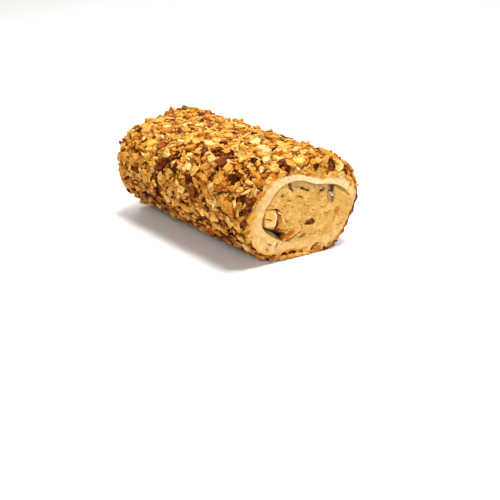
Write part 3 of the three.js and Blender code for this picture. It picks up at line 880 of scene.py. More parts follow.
def marks_on(points, marks):
    """Depth at each point, and each mark's colour with its mask."""
    depth, tints = np.zeros(len(points)), []
    wobble = MARK_WOBBLE[0] * uneven(points, MARK_WOBBLE[1])
    swelling = MARK_SWELL[0] * uneven(points, MARK_SWELL[1])
    for line, half, deep, tint, share in marks:
        far = from_line(points, line) + wobble + half * swelling
        mask = 1 - step_up(far / half, *MARK_EDGE)
        depth += deep * mask
        tints.append((tint, share * mask))
    return depth, tints


# %% Loose pits and short cracks
LOOSE_PITS, SHORT_CRACKS = 190, 34
PITS_MIDDLE, PITS_WIDE, PITS_TALL = 1.5, 14, 10
CRACK_DEPTH = 0.3

rng = np.random.default_rng(41)
pit_marks = []
for y, z in rng.uniform(-1, 1, (LOOSE_PITS, 2)):
    place = (PITS_MIDDLE + PITS_WIDE * y, PITS_TALL * z)
    half, deep, share = rng.uniform(0.12, 0.3), rng.uniform(0.1, 0.35), rng.uniform(0.2, 0.8)
    # the brown of each pit and crack is painted shade in it
    pit_marks.append(([place], half, deep, BROWN, share))
for _ in range(SHORT_CRACKS):
    y, z, turn, bend = rng.uniform([-9, -9, 0, -2], [14, 9, TURN, 2])
    reach = rng.uniform(0.25, 0.55)
    crack = [(y, z)]
    for way in (turn, turn + bend):
        crack.append((crack[-1][0] + reach * np.cos(way), crack[-1][1] + reach * np.sin(way)))
    pit_marks.append((crack, rng.uniform(0.12, 0.18), CRACK_DEPTH, BROWN, rng.uniform(0.3, 0.7)))
print(len(pit_marks), "pits and cracks for each cut")

# %% [markdown]
# The paste has pale and deep patches and is mottled. Its sides are darkened with painted shade, most
# of all down in the gap.

# %% Colours of the filling
PASTE = colour(217, 166, 79)
PASTE_PATCHES = [  # colour, strength, size, shift and edge
    (colour(246, 198, 110), 0.6, 2.4, 11.0, (0.0, 0.4)),
    (colour(214, 154, 64), 0.6, 3.4, 17.0, (0.1, 0.45)),
]
SIDE_SHADE, DEEPEST_SHADE = 0.6, 0.4

tone = patched(PASTE, filling_points, PASTE_PATCHES)
tone = mottled(tone, filling_points, 0.12, 0.7, 21.0)
parting = in_gap[np.arange(len(filling_points)) % AROUND]
on_side = ~(on_front | on_back)
# painted shade on the filling's sides, darkest down in the gap
tone[on_side] = tinted(SIDE_SHADE * tone, DEEPEST_SHADE * DARK, np.minimum(2 * parting, 1))[on_side]
print("mean colour of the cuts:", tone[~on_side].mean(axis=0).round(2))

# %% [markdown]
# Each kernel sits in a recess of its own. Painted shade darkens the paste at its edge, so that the
# kernel is set off.

# %% Press the marks and the recesses into both cuts
RECESS_DEPTH, RECESS_TINT = 1.3, 0.8
RECESS_WALL, RECESS_RIM = (-0.04, 0.16), (0.0, 0.14)  # where each begins and ends, inward
RECESS_RAGGED, RECESS_RAGGED_SIZE = 0.06, 0.5

for where, end, marks, kernels in (
    (on_front, 1, FRONT_MARKS + pit_marks, FRONT_KERNELS),
    (on_back, -1, pit_marks, BACK_KERNELS),
):
    cut = filling_points[where]
    depth, tints = marks_on(cut, marks)
    cut_tone = tone[where]
    for tint, share in tints:
        cut_tone = tinted(cut_tone, tint, share)
    for kernel in kernels:
        into = into_outline(cut, kernel["edge"]) + RECESS_RAGGED * uneven(cut, RECESS_RAGGED_SIZE)
        wall_at, rim_at = (np.array(at) - kernel["gap"] for at in (RECESS_WALL, RECESS_RIM))
        depth = np.maximum(depth, RECESS_DEPTH * step_up(into, *wall_at))
        # painted shade in the crevice round the kernel
        cut_tone = tinted(cut_tone, DARK, RECESS_TINT * step_up(into, *rim_at))
    cut[:, 0] -= end * depth
    filling_points[where] = cut
    tone[where] = cut_tone
    print(f"{len(marks)} marks, and the deepest place is {depth.max():.1f} mm deep")

filling = add_piece(
    "filling", filling_points, filling_faces, filling_finish, SMOOTH, tone,
)
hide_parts("nut_filling")

# %% [markdown]
# A kernel's body narrows behind its face, like the rest of the nut that is left in the filling. The
# skin is dark and thin, so it shows as a band along one side of the cut face, and the flesh of a
# roasted nut is browner towards the middle.

# %% Colours of the kernels
KERNEL_TONES = {  # flesh, and skin
    "kernel_pale": (colour(246, 208, 140), colour(205, 150, 84)),
    "kernel_roasted": (colour(204, 126, 28), colour(164, 96, 26)),
    "kernel_skin": (colour(204, 136, 54), colour(110, 56, 22)),
    "kernel_glazed": (colour(176, 138, 86), colour(120, 80, 40)),
}
SKIN_DARK = colour(84, 36, 14)
print(len(KERNEL_TONES), "kinds of kernel")

# %% Marks on the front kernels
KERNEL_MARKS = {  # on the faces of the front kernels, by number
    1: [
        ([(-11.6, 0.7), (-10.5, 0.3), (-9.5, -0.3)], 0.19, 0.3, UMBER, 0.9),
        ([(-10.6, -1.4), (-9.4, -1.7)], 0.7, 0.0, colour(250, 206, 150), 0.7),
        ([(-9.0, 2.2), (-8.3, 1.2), (-8.3, -0.8), (-8.6, -2.0)], 0.3, -0.1, colour(252, 226, 172), 0.8),
    ],
    2: [
        ([(-8.7, 3.0), (-8.0, 2.9), (-7.2, 2.2)], 0.3, 0.3, SKIN_DARK, 1.0),
        ([(-8.1, 2.2), (-7.8, 0.0), (-7.65, -1.8), (-8.1, -3.2)], 0.5, 0.3, SKIN_DARK, 1.0),
        ([(-7.5, 1.5), (-6.9, 0.7)], 0.5, 0.2, colour(96, 40, 14), 0.95),
        ([(-7.0, 0.0), (-6.8, -1.6)], 0.5, 0.1, colour(176, 112, 48), 0.8),
        ([(-6.3, -2.3), (-6.1, -3.6)], 0.45, 0.05, colour(206, 150, 50), 0.9),
        ([(-7.4, 2.0), (-6.4, 1.0), (-5.9, -1.5), (-5.3, -3.1)], 0.2, -0.12, colour(242, 198, 130), 0.9),
        ([(-6.3, 1.9), (-5.6, 0.6), (-5.1, -1.4), (-4.8, -3.0)], 0.42, 0.0, PASTE, 0.9),
        ([(-7.6, -3.7), (-6.2, -4.4)], 0.36, 0.2, SKIN_DARK, 0.95),
    ],
    3: [
        ([(-5.0, -7.2), (-3.4, -6.3)], 0.9, 0.1, colour(184, 104, 14), 0.9),
        ([(-2.6, -5.2), (-1.8, -5.0)], 0.6, 0.0, colour(240, 176, 92), 0.7),
        ([(-3.6, -6.0), (-2.7, -5.5)], 0.35, 0.15, colour(146, 80, 18), 0.8),
        ([(-1.2, -5.0), (-1.7, -6.2), (-3.8, -7.6)], 0.3, -0.08, colour(240, 188, 108), 0.8),
        ([(-5.9, -7.9), (-4.9, -8.2)], 0.3, 0.0, colour(240, 180, 90), 0.7),
    ],
    4: [
        ([(1.3, -4.2), (1.9, -4.4), (2.4, -4.0)], 0.45, 0.25, colour(66, 32, 12), 0.95),
        ([(3.2, -3.0), (4.0, -3.9)], 0.4, 0.2, colour(86, 48, 16), 0.9),
        ([(2.3, -3.2), (2.9, -3.5)], 0.4, 0.1, colour(140, 92, 42), 0.6),
        ([(2.4, -4.7), (3.4, -4.7)], 0.3, 0.1, BROWN, 0.7),
    ],
    5: [
        ([(11.3, -1.8)], 0.8, 0.12, colour(190, 112, 60), 0.8),
        ([(11.0, -2.2), (11.4, -2.5)], 0.3, 0.1, colour(140, 78, 36), 0.7),
    ],
    6: [
        ([(9.35, 7.4), (9.4, 5.7)], 0.8, 0.3, colour(70, 28, 4), 1.0),
        ([(7.9, 5.5), (8.6, 5.4)], 0.3, 0.2, colour(84, 46, 16), 0.95),
        # the pale spots of this kernel are painted glints on its wet surface
        ([(8.4, 4.8), (8.7, 4.4)], 0.28, -0.15, colour(232, 206, 164), 0.7),
        ([(9.3, 3.8)], 0.3, -0.2, colour(255, 240, 214), 1.0),
        ([(9.2, 3.2), (9.9, 2.7)], 0.3, 0.25, colour(80, 42, 12), 0.95),
        ([(9.3, 2.1), (10.1, 1.6)], 0.42, 0.25, colour(110, 70, 24), 0.9),
        ([(8.8, 1.4), (9.4, 1.1)], 0.2, 0.2, colour(84, 50, 20), 0.9),
        ([(9.2, 1.7)], 0.2, -0.1, colour(232, 206, 150), 0.8),
    ],
}
KERNEL_BASE = {1: colour(230, 176, 90), 5: colour(196, 136, 56), 4: colour(104, 54, 12)}
print("marks on the front kernels:", [len(marks) for marks in KERNEL_MARKS.values()])

# %% Helper: how far an outline reaches
def edge_reach(edge, middle, directions):
    """How far an outline reaches from its middle in each direction, with its corners rounded."""
    edge = np.array(edge) - middle
    step = np.roll(edge, -1, axis=0) - edge
    way = np.stack([np.cos(directions), np.sin(directions)], axis=1)[:, None]
    across = way[..., 0] * step[:, 1] - way[..., 1] * step[:, 0]
    reach = (edge[:, 0] * step[:, 1] - edge[:, 1] * step[:, 0]) / across
    along = (edge[:, 0] * way[..., 1] - edge[:, 1] * way[..., 0]) / across
    reach = np.where((along >= 0) & (along <= 1) & (reach > 0), reach, 0).max(axis=1)
    return (np.roll(reach, 1) + 2 * reach + np.roll(reach, -1)) / 4


# %% [markdown]
# A kernel is a stack of rings round its middle: many of them over its face, which stands a little
# proud, two down its edge, and a few more that narrow to its far end.

# %% The kernels' form
KERNEL_PROUD, KERNEL_LENGTH = 0.06, 3.2
KERNEL_ROUND = 72
STRAIGHT = 0.3  # how far down a kernel keeps its full width
FACE_FADE = (0.02, 0.12)  # over this depth the face's colour and relief end
EDGE_RAGGED, EDGE_RAGGED_SIZE = 0.06, 0.35
SIDE_RAGGED, SIDE_RAGGED_SIZE = 0.12, 0.7
KERNEL_RELIEF = (0.1, 1.5, 6.0)  # height, size and shift
FINE_HEIGHT, GLAZED_HEIGHT = 0.08, 0.22  # of a finer relief
KERNEL_LEVELS = [(part, 0.0) for part in np.linspace(0.02, 0.97, 26)]  # size and depth of each ring
KERNEL_LEVELS += [(1.0, 0.08), (1.0, STRAIGHT)]
for part in (0.2, 0.4, 0.6, 0.8, 0.95):
    KERNEL_LEVELS.append((np.sqrt(1 - part**2), STRAIGHT + part * (KERNEL_LENGTH - STRAIGHT)))


def kernel_rings(edge, share, end):
    """The rings of points that a kernel is made of."""
    directions = TURN * np.arange(KERNEL_ROUND) / KERNEL_ROUND
    middle = np.mean(edge, axis=0)
    reach = edge_reach(edge, middle, directions)
    around = np.stack([np.cos(directions), np.sin(directions), reach], axis=1)
    reach = reach * (1 + EDGE_RAGGED * uneven(around, EDGE_RAGGED_SIZE))
    rows = []
    for size, down in KERNEL_LEVELS:
        y = middle[0] + size * reach * np.cos(directions)
        z = middle[1] + size * reach * np.sin(directions)
        x = along_roll(share, y) + end * (KERNEL_PROUD - down)
        rows.append(np.stack([x, y, z], axis=-1))
    return rows


# %% The kernels
def add_kernel(name, kernel, share, end, marks, base):
    """A kernel with its marks. Its flesh has a colour of its own where base names one."""
    glazed = kernel["slot"] == "kernel_glazed"
    points, faces = skin(kernel_rings(kernel["edge"], share, end), CAPPED)
    depth = np.repeat([down for _, down in KERNEL_LEVELS], KERNEL_ROUND)
    face = 1 - step_up(depth, *FACE_FADE)
    flesh, skin_tone = KERNEL_TONES[kernel["slot"]]
    tone = tinted(skin_tone, flesh if base is None else base, face)
    mark_depth, tints = marks_on(points, marks)
    for tint, strength in tints:
        tone = tinted(tone, tint, strength * face)
    tone = mottled(tone, points, 0.16, 0.9, 2.0)
    fine = (GLAZED_HEIGHT if glazed else FINE_HEIGHT, 0.6, 4.0)
    raised = relief(points, [KERNEL_RELIEF, fine]) - mark_depth
    points[:, 0] += end * raised * face
    ragged = SIDE_RAGGED * (1 - face)[:, None] * uneven(points, SIDE_RAGGED_SIZE)[:, None]
    points += ragged * [0, 1, 1]
    finish = glazed_finish if glazed else kernel_finish
    piece = add_piece(name.replace("kernel", "nut"), points, faces, finish, SMOOTH, tone)
    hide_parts(name)


for number, kernel in enumerate(FRONT_KERNELS, 1):
    marks = KERNEL_MARKS[number]
    add_kernel(f"front_kernel_{number}", kernel, 1, 1, marks, KERNEL_BASE.get(number))
for number, kernel in enumerate(BACK_KERNELS, 1):
    skin_side = kernel["edge"][number:number + 5]
    marks = [(skin_side, 0.4, 0.12, SKIN_DARK, 0.7), (kernel["edge"][:2], 0.5, 0.1, BROWN, 0.5)]
    add_kernel(f"back_kernel_{number}", kernel, 0, -1, marks, None)

# %% [markdown]
# ## Shapes of chopped nut
# A chopped hazelnut breaks into flat flakes, slivers and a few chunks, all with flat sides and sharp
# edges. The hull of an uneven lower outline and a smaller upper one looks just like a flake. Pieces
# that still have their skin are domed on that side, like the nut that they came from. Flakes at the
# cut's edge, where the knife and fingers have rubbed them, are worn: they have more corners.

# %% Helpers: an uneven ring of corners, and a hull
def uneven_ring(rng, corners, wide, height, slope):
    """Corners round a piece, all in one tilted plane, as a flat break leaves them."""
    step = TURN * (np.arange(corners) + rng.uniform(-0.34, 0.34, corners)) / corners
    reach = wide * rng.uniform(0.7, 1.0, corners)
    x, y = reach * np.cos(step), reach * np.sin(step)
    tilt = rng.uniform(-slope, slope, 2)
    return np.stack([x, y, height + tilt[0] * x + tilt[1] * y], axis=1)


def hull_of(points):
    """The hull over points, as points in a unit box and triangles."""
    bm = bmesh.new()
    for point in points:
        bm.verts.new(point)
    hull = bmesh.ops.convex_hull(bm, input=bm.verts)
    bmesh.ops.delete(bm, geom=list(set(hull["geom_interior"] + hull["geom_unused"])), context="VERTS")
    bmesh.ops.recalc_face_normals(bm, faces=bm.faces)
    bm.verts.index_update()
    points = np.array([vertex.co for vertex in bm.verts])
    faces = np.array([[vertex.index for vertex in face.verts] for face in bm.faces])
    bm.free()
    low, high = points.min(axis=0), points.max(axis=0)
    return (points - (low + high) / 2) / (high - low), faces


# %% Make a small library of shapes
CAP_RINGS = ((-1, 0.8), (0.1, 1.0), (0.75, 0.66), (1, 0.2))  # height and width
CAP_CORNERS, CAP_SLOPE = 6, 0.1


def flake(rng, slope, fewest=4, most=6):
    """A flat piece, with its upper and lower side tilted by up to a slope."""
    corners = rng.integers(fewest, most + 1)
    low = uneven_ring(rng, corners, 1.0, -1, slope)
    high = uneven_ring(rng, corners, rng.uniform(0.7, 0.95), 1, slope)
    return hull_of(np.concatenate([low, high]))


def skin_cap(rng):
    """A piece of a nut's round outside."""
    rings = [uneven_ring(rng, CAP_CORNERS, wide, height, CAP_SLOPE) for height, wide in CAP_RINGS]
    return hull_of(np.concatenate(rings))


rng = np.random.default_rng(7)
FLAKES, CHUNKS, CAPS, WORN = range(0, 14), range(14, 20), range(20, 24), range(24, 30)
shapes = [flake(rng, 0.35) for _ in FLAKES] + [flake(rng, 0.8) for _ in CHUNKS]
shapes += [skin_cap(rng) for _ in CAPS]
shapes += [flake(rng, 0.2, 8, 11) for _ in WORN]
print("faces of the shapes:", [len(faces) for _, faces in shapes])

# %% [markdown]
# ## Where the nuts lie
# The largest nuts are the ones that the CAD model has, at the same places, so that both have the same
# form. A rule spreads them evenly: fixed steps round the roll and over it that never repeat. A number
# between 0 and 1 that depends only on the nut and the question decides how each is turned.

# %% Helpers: even spread, and draws that depend on the nut alone
EDGE_MARGIN = 1.3
STEPS_ROUND, STEPS_OVER = 0.5698402909, 0.7548776662
ASK_TURN, ASK_TILT, ASK_HINGE = 3, 4, 5


def draw(item, question):
    """A number between 0 and 1 for a nut and a question. The large numbers only shuffle."""
    return (np.sin(item * 127.1 + question * 311.7) * 43758.5453) % 1


def share_over(angle, part, margin):
    """Share of the length where a part of the way over the crust ends, for each angle."""
    row = np.rint(angle / TURN * ROUND_STEPS).astype(int)
    gone = margin + part * (path[row, -1] - 2 * margin)
    return np.array([np.interp(way, path[line], grid_shares) for way, line in zip(gone, row)])


# %% Helper: turn nuts
def turned_frames(normal, tilt, hinge, spin):
    """Length, width and thickness directions of nuts that are tilted over a hinge and turned."""
    frames = []
    for out, lean, at, turn in zip(normal, tilt, hinge, spin):
        lie = Vector((0, 0, 1)).rotation_difference(Vector(out)).to_matrix()
        tip = Matrix.Rotation(lean, 3, Vector((np.cos(at), np.sin(at), 0)))
        frames.append(np.array(lie @ tip @ Matrix.Rotation(turn, 3, "Z")))
    return np.array(frames)


# %% Helpers: a batch of nuts
CRUST_AT_CUT, CRUST_FULL_FROM = 0.3, 2.5  # a part of its thickness, and mm from the cut
LEAST_DEPTH, MORE_DEPTH = 0.5, 1.1  # of the dark zone at a nut's foot, and more of it far from a cut
FULL_DEPTH = LEAST_DEPTH + MORE_DEPTH


def fading(share):
    """How thick the crust is at shares of the length, as a part of what it is far from a cut."""
    from_cut = np.minimum(share, 1 - share) * LENGTH
    return CRUST_AT_CUT + (1 - CRUST_AT_CUT) * step_up(from_cut, 0, CRUST_FULL_FROM)


def batch(angle, share, height, size, tilt, hinge, spin, kind, shape):
    """A batch of nuts: where each stands, its frame, its size, its kind and its shape."""
    foot, normal = crust(angle, share), crust_normal(angle, share)
    return {
        "foot": foot, "normal": normal, "centre": foot + normal * height[:, None],
        "frame": turned_frames(normal, tilt, hinge, spin), "size": size,
        "kind": kind, "shape": shape, "depth": LEAST_DEPTH + MORE_DEPTH * fading(share),
    }


def kept(nuts, which):
    """The nuts of a batch for which a mask is true."""
    return {key: values[which] for key, values in nuts.items()}


def joined(batches):
    """Several batches as one."""
    return {key: np.concatenate([one[key] for one in batches]) for key in batches[0]}


# %% The large nuts of the CAD model
LARGE_NUTS = 255
LARGEST_NUT, SMALLEST_LARGE_NUT = 4.6, 2.7
NUT_WIDTH, NUT_THICKNESS = 0.7, 0.46  # of the length
LARGE_LIFT, LARGE_TILT = 0.12, 30.0
CAD_LEVEL = -0.9
OFF_SEAT = 0.6  # nuts that are nearer to the table than this are left out
GROWN = 0.96  # the hull fills less of its box than the CAD's nut does

rng = np.random.default_rng(11)
KINDS = ["golden", "pale", "toasted", "skin"]
KIND_SHARES = [0.54, 0.25, 0.175, 0.035]
item = np.arange(LARGE_NUTS)
angle = TURN * ((0.5 + item * STEPS_ROUND) % 1)
share = share_over(angle, (0.5 + item * STEPS_OVER) % 1, EDGE_MARGIN)
length = LARGEST_NUT + (SMALLEST_LARGE_NUT - LARGEST_NUT) * item / LARGE_NUTS
large = batch(
    angle, share, CAD_LEVEL - NOUGAT_LEVEL + LARGE_LIFT * length,
    GROWN * length[:, None] * [1, NUT_WIDTH, NUT_THICKNESS],
    np.radians(LARGE_TILT) * (2 * draw(item, ASK_TILT) - 1), TURN * draw(item, ASK_HINGE),
    TURN * draw(item, ASK_TURN), rng.choice(KINDS, LARGE_NUTS, p=KIND_SHARES),
    rng.choice([*FLAKES, *FLAKES, *CHUNKS], LARGE_NUTS),
)
on_side = large["foot"][:, 2] > OFF_SEAT - AXIS_HEIGHT
large = kept(large, on_side)
print(len(large["foot"]), "large nuts")

# %% [markdown]
# The other nuts make layers between and under them. The lowest of the three main layers is pressed
# into the nougat and lies flat, the next lies less flat, and a few stick out. Some long flakes lie on
# top, and crumbs fill what is left. Near a cut the layers are thinner, because the knife dragged the
# crust in. Two layers of worn flakes follow the edge of each cut.

# %% The layers
# Lengths and heights over the nougat are in mm, and so is the margin, where a layer stops short of a
# cut. The tilt is the most there is, in degrees, and thin is the share of flat flakes. A rim layer
# fills only that share of the way over, half of it at each cut.
LAYERS = [
    {"count": 2500, "length": (2.0, 3.6), "height": 0.55, "tilt": 18, "thin": 0.9, "margin": 0.8},
    {"count": 3400, "length": (1.6, 3.5), "height": 0.95, "tilt": 34, "thin": 0.9, "margin": 1.2},
    {"count": 1700, "length": (1.5, 3.4), "height": 1.25, "tilt": 48, "thin": 0.9, "margin": 1.6},
    {"count": 420, "length": (3.4, 5.2), "height": 1.4, "tilt": 15, "thin": 1.0, "margin": 2.2},
    {"count": 1900, "length": (0.6, 1.2), "height": 0.85, "tilt": 60, "thin": 0.5, "margin": 1.8},
    {"count": 260, "length": (2.4, 4.4), "height": 0.8, "tilt": 0, "thin": 1.0, "margin": 0.4,
     "rim": 0.03, "kinds": [0.68, 0.28, 0.04, 0.0], "shapes": WORN},
    {"count": 260, "length": (2.2, 3.8), "height": 1.4, "tilt": 0, "thin": 0.9, "margin": 0.6,
     "rim": 0.04, "kinds": [0.66, 0.3, 0.04, 0.0], "shapes": WORN},
]
SLIVERS = 0.68
WIDTHS = ((0.27, 0.42), (0.55, 0.85))  # of a sliver and of a broader piece, as parts of the length
THICKNESSES = ((0.25, 0.45), (0.5, 0.8))  # of a thin piece and of a chunk, as parts of the width
THINNEST, THICKEST = 0.3, 1.0
SCATTER, HEIGHT_SCATTER = 0.003, 0.2
SHORTER_AT_CUT = 0.75
ALONG_RIM = 0.5  # how far a flake at the rim may turn away from it
ANGLE_STEP = 0.02
print(sum(layer["count"] for layer in LAYERS), "nuts in", len(LAYERS), "layers")

# %% Helper: lay nuts along a direction
LYING, STANDING = False, True


def laid_along(laid, long_way, stand=LYING):
    """Turn each nut of a batch so that its length follows a direction, flat on the crust or up."""
    side = np.cross(laid["normal"], long_way)
    side /= np.linalg.norm(side, axis=1, keepdims=True)
    ways = [np.cross(side, laid["normal"]), side, laid["normal"]]
    laid["frame"] = np.stack(ways[::-1] if stand else ways, axis=2)
    return laid


# %% Helper: one layer
def layer_batch(layer, first):
    """One layer, with nuts that are numbered from the first one on."""
    count, shares = layer["count"], layer.get("kinds", KIND_SHARES)
    item = np.arange(first, first + count)
    angle = TURN * ((0.5 + item * STEPS_ROUND + rng.normal(0, SCATTER, count)) % 1)
    over = np.clip(((0.5 + item * STEPS_OVER) % 1) + rng.normal(0, SCATTER, count), 0, 1)
    if "rim" in layer:
        over = np.where(over < 0.5, layer["rim"] * over, 1 - layer["rim"] * (1 - over))
    share = share_over(angle, over, layer["margin"])
    height = layer["height"] * fading(share) + rng.normal(0, HEIGHT_SCATTER, count)
    shorter = SHORTER_AT_CUT + (1 - SHORTER_AT_CUT) * fading(share)
    length = rng.uniform(*layer["length"], count) * shorter
    sliver = rng.random(count) < SLIVERS
    narrow, broad = (rng.uniform(*part, count) for part in WIDTHS)
    width = length * np.where(sliver, narrow, broad)
    thin = rng.random(count) < layer["thin"]
    flat, chunky = (rng.uniform(*part, count) for part in THICKNESSES)
    thick = np.clip(width * np.where(thin, flat, chunky), THINNEST, THICKEST)
    shape = np.where(thin, rng.choice(layer.get("shapes", FLAKES), count), rng.choice(CHUNKS, count))
    laid = batch(
        angle, share, height, np.stack([length, width, thick], axis=1),
        np.radians(layer["tilt"]) * rng.uniform(0, 1, count), rng.uniform(0, TURN, count),
        rng.uniform(0, TURN, count), rng.choice(KINDS, count, p=shares), shape,
    )
    if "rim" in layer:
        round_it = crust(angle + ANGLE_STEP, share) - crust(angle - ANGLE_STEP, share)
        across = np.cross(laid["normal"], round_it)
        laid = laid_along(laid, round_it + rng.uniform(-ALONG_RIM, ALONG_RIM, (count, 1)) * across)
    return laid


# %% Spread the layers
first = LARGE_NUTS
layers = []
for layer in LAYERS:
    layers.append(layer_batch(layer, first))
    first += layer["count"]
spread = joined([large, *layers])
print(len(spread["foot"]), "nuts spread over the crust")

# %% [markdown]
# ## Nuts that stand out
# What one notices in the photograph are the groups of dark-skinned pieces, a few orange ones and some
# large golden, pale and cream flakes beside the cut. Each is named by the pixel of its middle and its
# size in pixels, and is laid on top there. Some stand on end and break the outline.

# %% Dark pieces, by their pixel
SKIN_SPOTS = [  # x, y, width and height in pixels
    (165, 162.5, 12, 13), (202, 153, 7, 10), (214, 152, 8, 7), (220, 155, 8, 7), (229.5, 155, 9, 10),
    (216.5, 168, 6, 7), (188.5, 178, 11, 9), (234, 179, 12, 12), (211, 177.5, 5, 9), (135.5, 169.5, 6, 8),
    (139.5, 131, 8, 8), (187, 119.5, 9, 6), (202.5, 121.5, 6, 6), (244, 198, 10, 10), (253, 200, 10, 10),
    (248, 209, 9, 9), (281, 162.5, 12, 10), (287.5, 169.5, 11, 12), (316.5, 166, 10, 9), (332, 166, 9, 9),
    (254, 161, 8, 9), (255, 171, 8, 9), (201, 215.5, 9, 6), (195.5, 194, 9, 8), (240, 213, 8, 7),
    (243.5, 225, 6, 11), (226, 230.5, 7, 8), (118.5, 142, 6, 6), (256, 131.5, 7, 7), (287, 136, 7, 4),
    (346.5, 171, 4, 6), (323.5, 147, 6, 4),
    (175, 158, 9, 4), (183, 201, 6, 7), (128, 190, 6, 5), (172, 213, 7, 5), (236, 238, 8, 5),
    (284, 252, 10, 6), (294, 251.5, 9, 6),
]
TOASTED_SPOTS = [
    (219.5, 189, 12, 7), (301, 250, 8, 5), (275, 255, 8, 5), (289, 251, 9, 5), (206, 139, 8, 6),
    (246, 121, 7, 6), (270, 133, 7, 5), (309, 140, 5, 5), (223, 141, 8, 5), (180, 107, 8, 5),
    (232, 190, 8, 8), (237, 203, 7, 7), (229, 212, 8, 8), (234, 221, 7, 7), (238, 170, 8, 6),
]
print(len(SKIN_SPOTS), "dark and", len(TOASTED_SPOTS), "toasted pieces")

# %% Bright pieces, by their pixel
ORANGE_SPOTS = [
    (274.5, 176, 12, 8), (264, 193.5, 8, 9), (242, 119.5, 6, 5), (250, 126, 7, 5), (330, 155, 12, 6),
    (248, 247, 10, 8), (257, 251, 8, 7), (316, 248.5, 9, 10), (192, 113, 8, 6),
]
GOLDEN_SPOTS = [
    (252, 216, 11, 18), (247, 229, 9, 9), (262, 253, 10, 7), (324, 171, 8, 6), (283, 152, 14, 7),
    (231, 137, 13, 8), (208, 134, 14, 7), (322, 172.5, 9, 6), (301, 171, 11, 5), (351, 167, 7, 8),
    (353.5, 175, 6, 7), (313, 160, 9, 6), (289, 158, 9, 7),
    (190, 150, 14, 6), (176, 140, 12, 6), (354, 180, 6, 9), (357, 186, 5, 6), (169.5, 106, 7, 10),
    (240, 236, 8, 8), (205, 168, 10, 8), (180, 168, 10, 8), (164, 178, 9, 7), (150, 150, 9, 8),
]
PALE_SPOTS = [
    (299, 162.5, 16, 11), (342, 165.5, 13, 11), (305, 152.5, 11, 4), (297, 151, 10, 6), (331, 172.5, 8, 5),
    (340, 173.5, 7, 4),
]
CREAM_SPOTS = [
    (255, 142.5, 15, 11), (261, 149, 10, 8), (267, 153.5, 13, 9), (266, 161.5, 11, 10), (246, 149, 7, 5),
    (286, 146, 8, 5), (218, 143, 11, 5), (181, 143, 10, 5), (199, 127, 10, 5), (166, 129, 11, 5),
]
print(len(ORANGE_SPOTS + GOLDEN_SPOTS + PALE_SPOTS + CREAM_SPOTS), "bright pieces")

# %% Pieces that stand on end
STANDING_SPOTS = [
    (169.5, 106.5, 12, 15), (242, 121, 7, 10), (309, 142, 6, 8), (357, 186, 7, 8),
    (198, 112, 7, 9), (186, 109, 7, 8), (272, 133, 8, 9), (331, 152, 6, 6), (128, 132, 5, 6),
]
STANDING_SKINS = [(120.5, 142, 8, 8.5), (122, 139, 5, 6)]
print(len(STANDING_SPOTS + STANDING_SKINS), "pieces stand on end")

# %% [markdown]
# A flake on a surface that turns away from the camera looks shorter than it is, so it is made longer
# by as much. A dark group is one main piece and three smaller ones beside it, because the skin comes
# off in flakes.

# %% Helpers: lay a nut at a pixel
SPOT_HEIGHT, SPOT_LOW = 1.45, 0.3  # in mm, and the part of it that is left at a cut
LEAST_SLANT = 0.7  # a surface that turns away more than this doesn't lengthen its flakes further
SPOT_THICKNESS, SPOT_THINNEST, SPOT_THICKEST = 0.45, 0.7, 1.4
SPOT_TILT = 20  # at most
spot_rng = np.random.default_rng(5)


def spot_batch(spots, kind, choose, stand=LYING):
    """One nut for each spot, laid on top of the others and as large as the spot."""
    places = [place_at(x, y) for x, y, _, _ in spots]
    angle, share, pixel = (np.array(values) for values in zip(*places))
    wide, tall = (np.array([spot[i] for spot in spots]) for i in (2, 3))
    if kind != "skin" and stand == LYING:
        slant = np.sum(crust_normal(angle, share) * toward_eye, axis=1)
        tall = tall / np.clip(slant, LEAST_SLANT, 1)
    size = np.stack([np.maximum(wide, tall), np.minimum(wide, tall)], axis=1) * pixel[:, None]
    thick = np.clip(SPOT_THICKNESS * size[:, 1], SPOT_THINNEST, SPOT_THICKEST)
    count = len(spots)
    laid = batch(
        angle, share, SPOT_HEIGHT * (SPOT_LOW + (1 - SPOT_LOW) * fading(share)),
        np.column_stack([size, thick]), np.radians(spot_rng.uniform(0, SPOT_TILT, count)),
        spot_rng.uniform(0, TURN, count), np.zeros(count),
        np.full(count, kind), spot_rng.choice(choose, count),
    )
    return laid_along(laid, np.where((wide > tall)[:, None], image_right, image_up), stand)


# %% Helper: a group of dark pieces
MAIN_PIECE, SMALLER_PIECES, BESIDE = 0.82, 3, 0.36
SMALLER_SIZE = (0.4, 0.7)


def scattered(spots):
    """Each spot once at most of its size, and smaller pieces beside it."""
    pieces = []
    for x, y, wide, tall in spots:
        pieces.append((x, y, MAIN_PIECE * wide, MAIN_PIECE * tall))
        for _ in range(SMALLER_PIECES):
            shift = spot_rng.uniform(-BESIDE, BESIDE, 2)
            size = spot_rng.uniform(*SMALLER_SIZE, 2)
            pieces.append((x + shift[0] * wide, y + shift[1] * tall, size[0] * wide, size[1] * tall))
    return pieces


# %% Lay them
skins = spot_batch(scattered(SKIN_SPOTS), "skin", [*FLAKES, *CHUNKS, *CAPS])
groups = [skins]
for kind, places in (
    ("toasted", TOASTED_SPOTS), ("orange", ORANGE_SPOTS), ("golden", GOLDEN_SPOTS),
    ("pale", PALE_SPOTS), ("cream", CREAM_SPOTS),
):
    groups.append(spot_batch(places, kind, FLAKES))
groups.append(spot_batch(STANDING_SPOTS, "golden", [*FLAKES, *CHUNKS], STANDING))
groups.append(spot_batch(STANDING_SKINS, "skin", CHUNKS, STANDING))
spots = joined(groups)
print(len(spots["foot"]), "nuts placed by their pixel")

# %% [markdown]
# One nut has been pushed into the nougat's cut, at its lower edge. The CAD model has it as well.

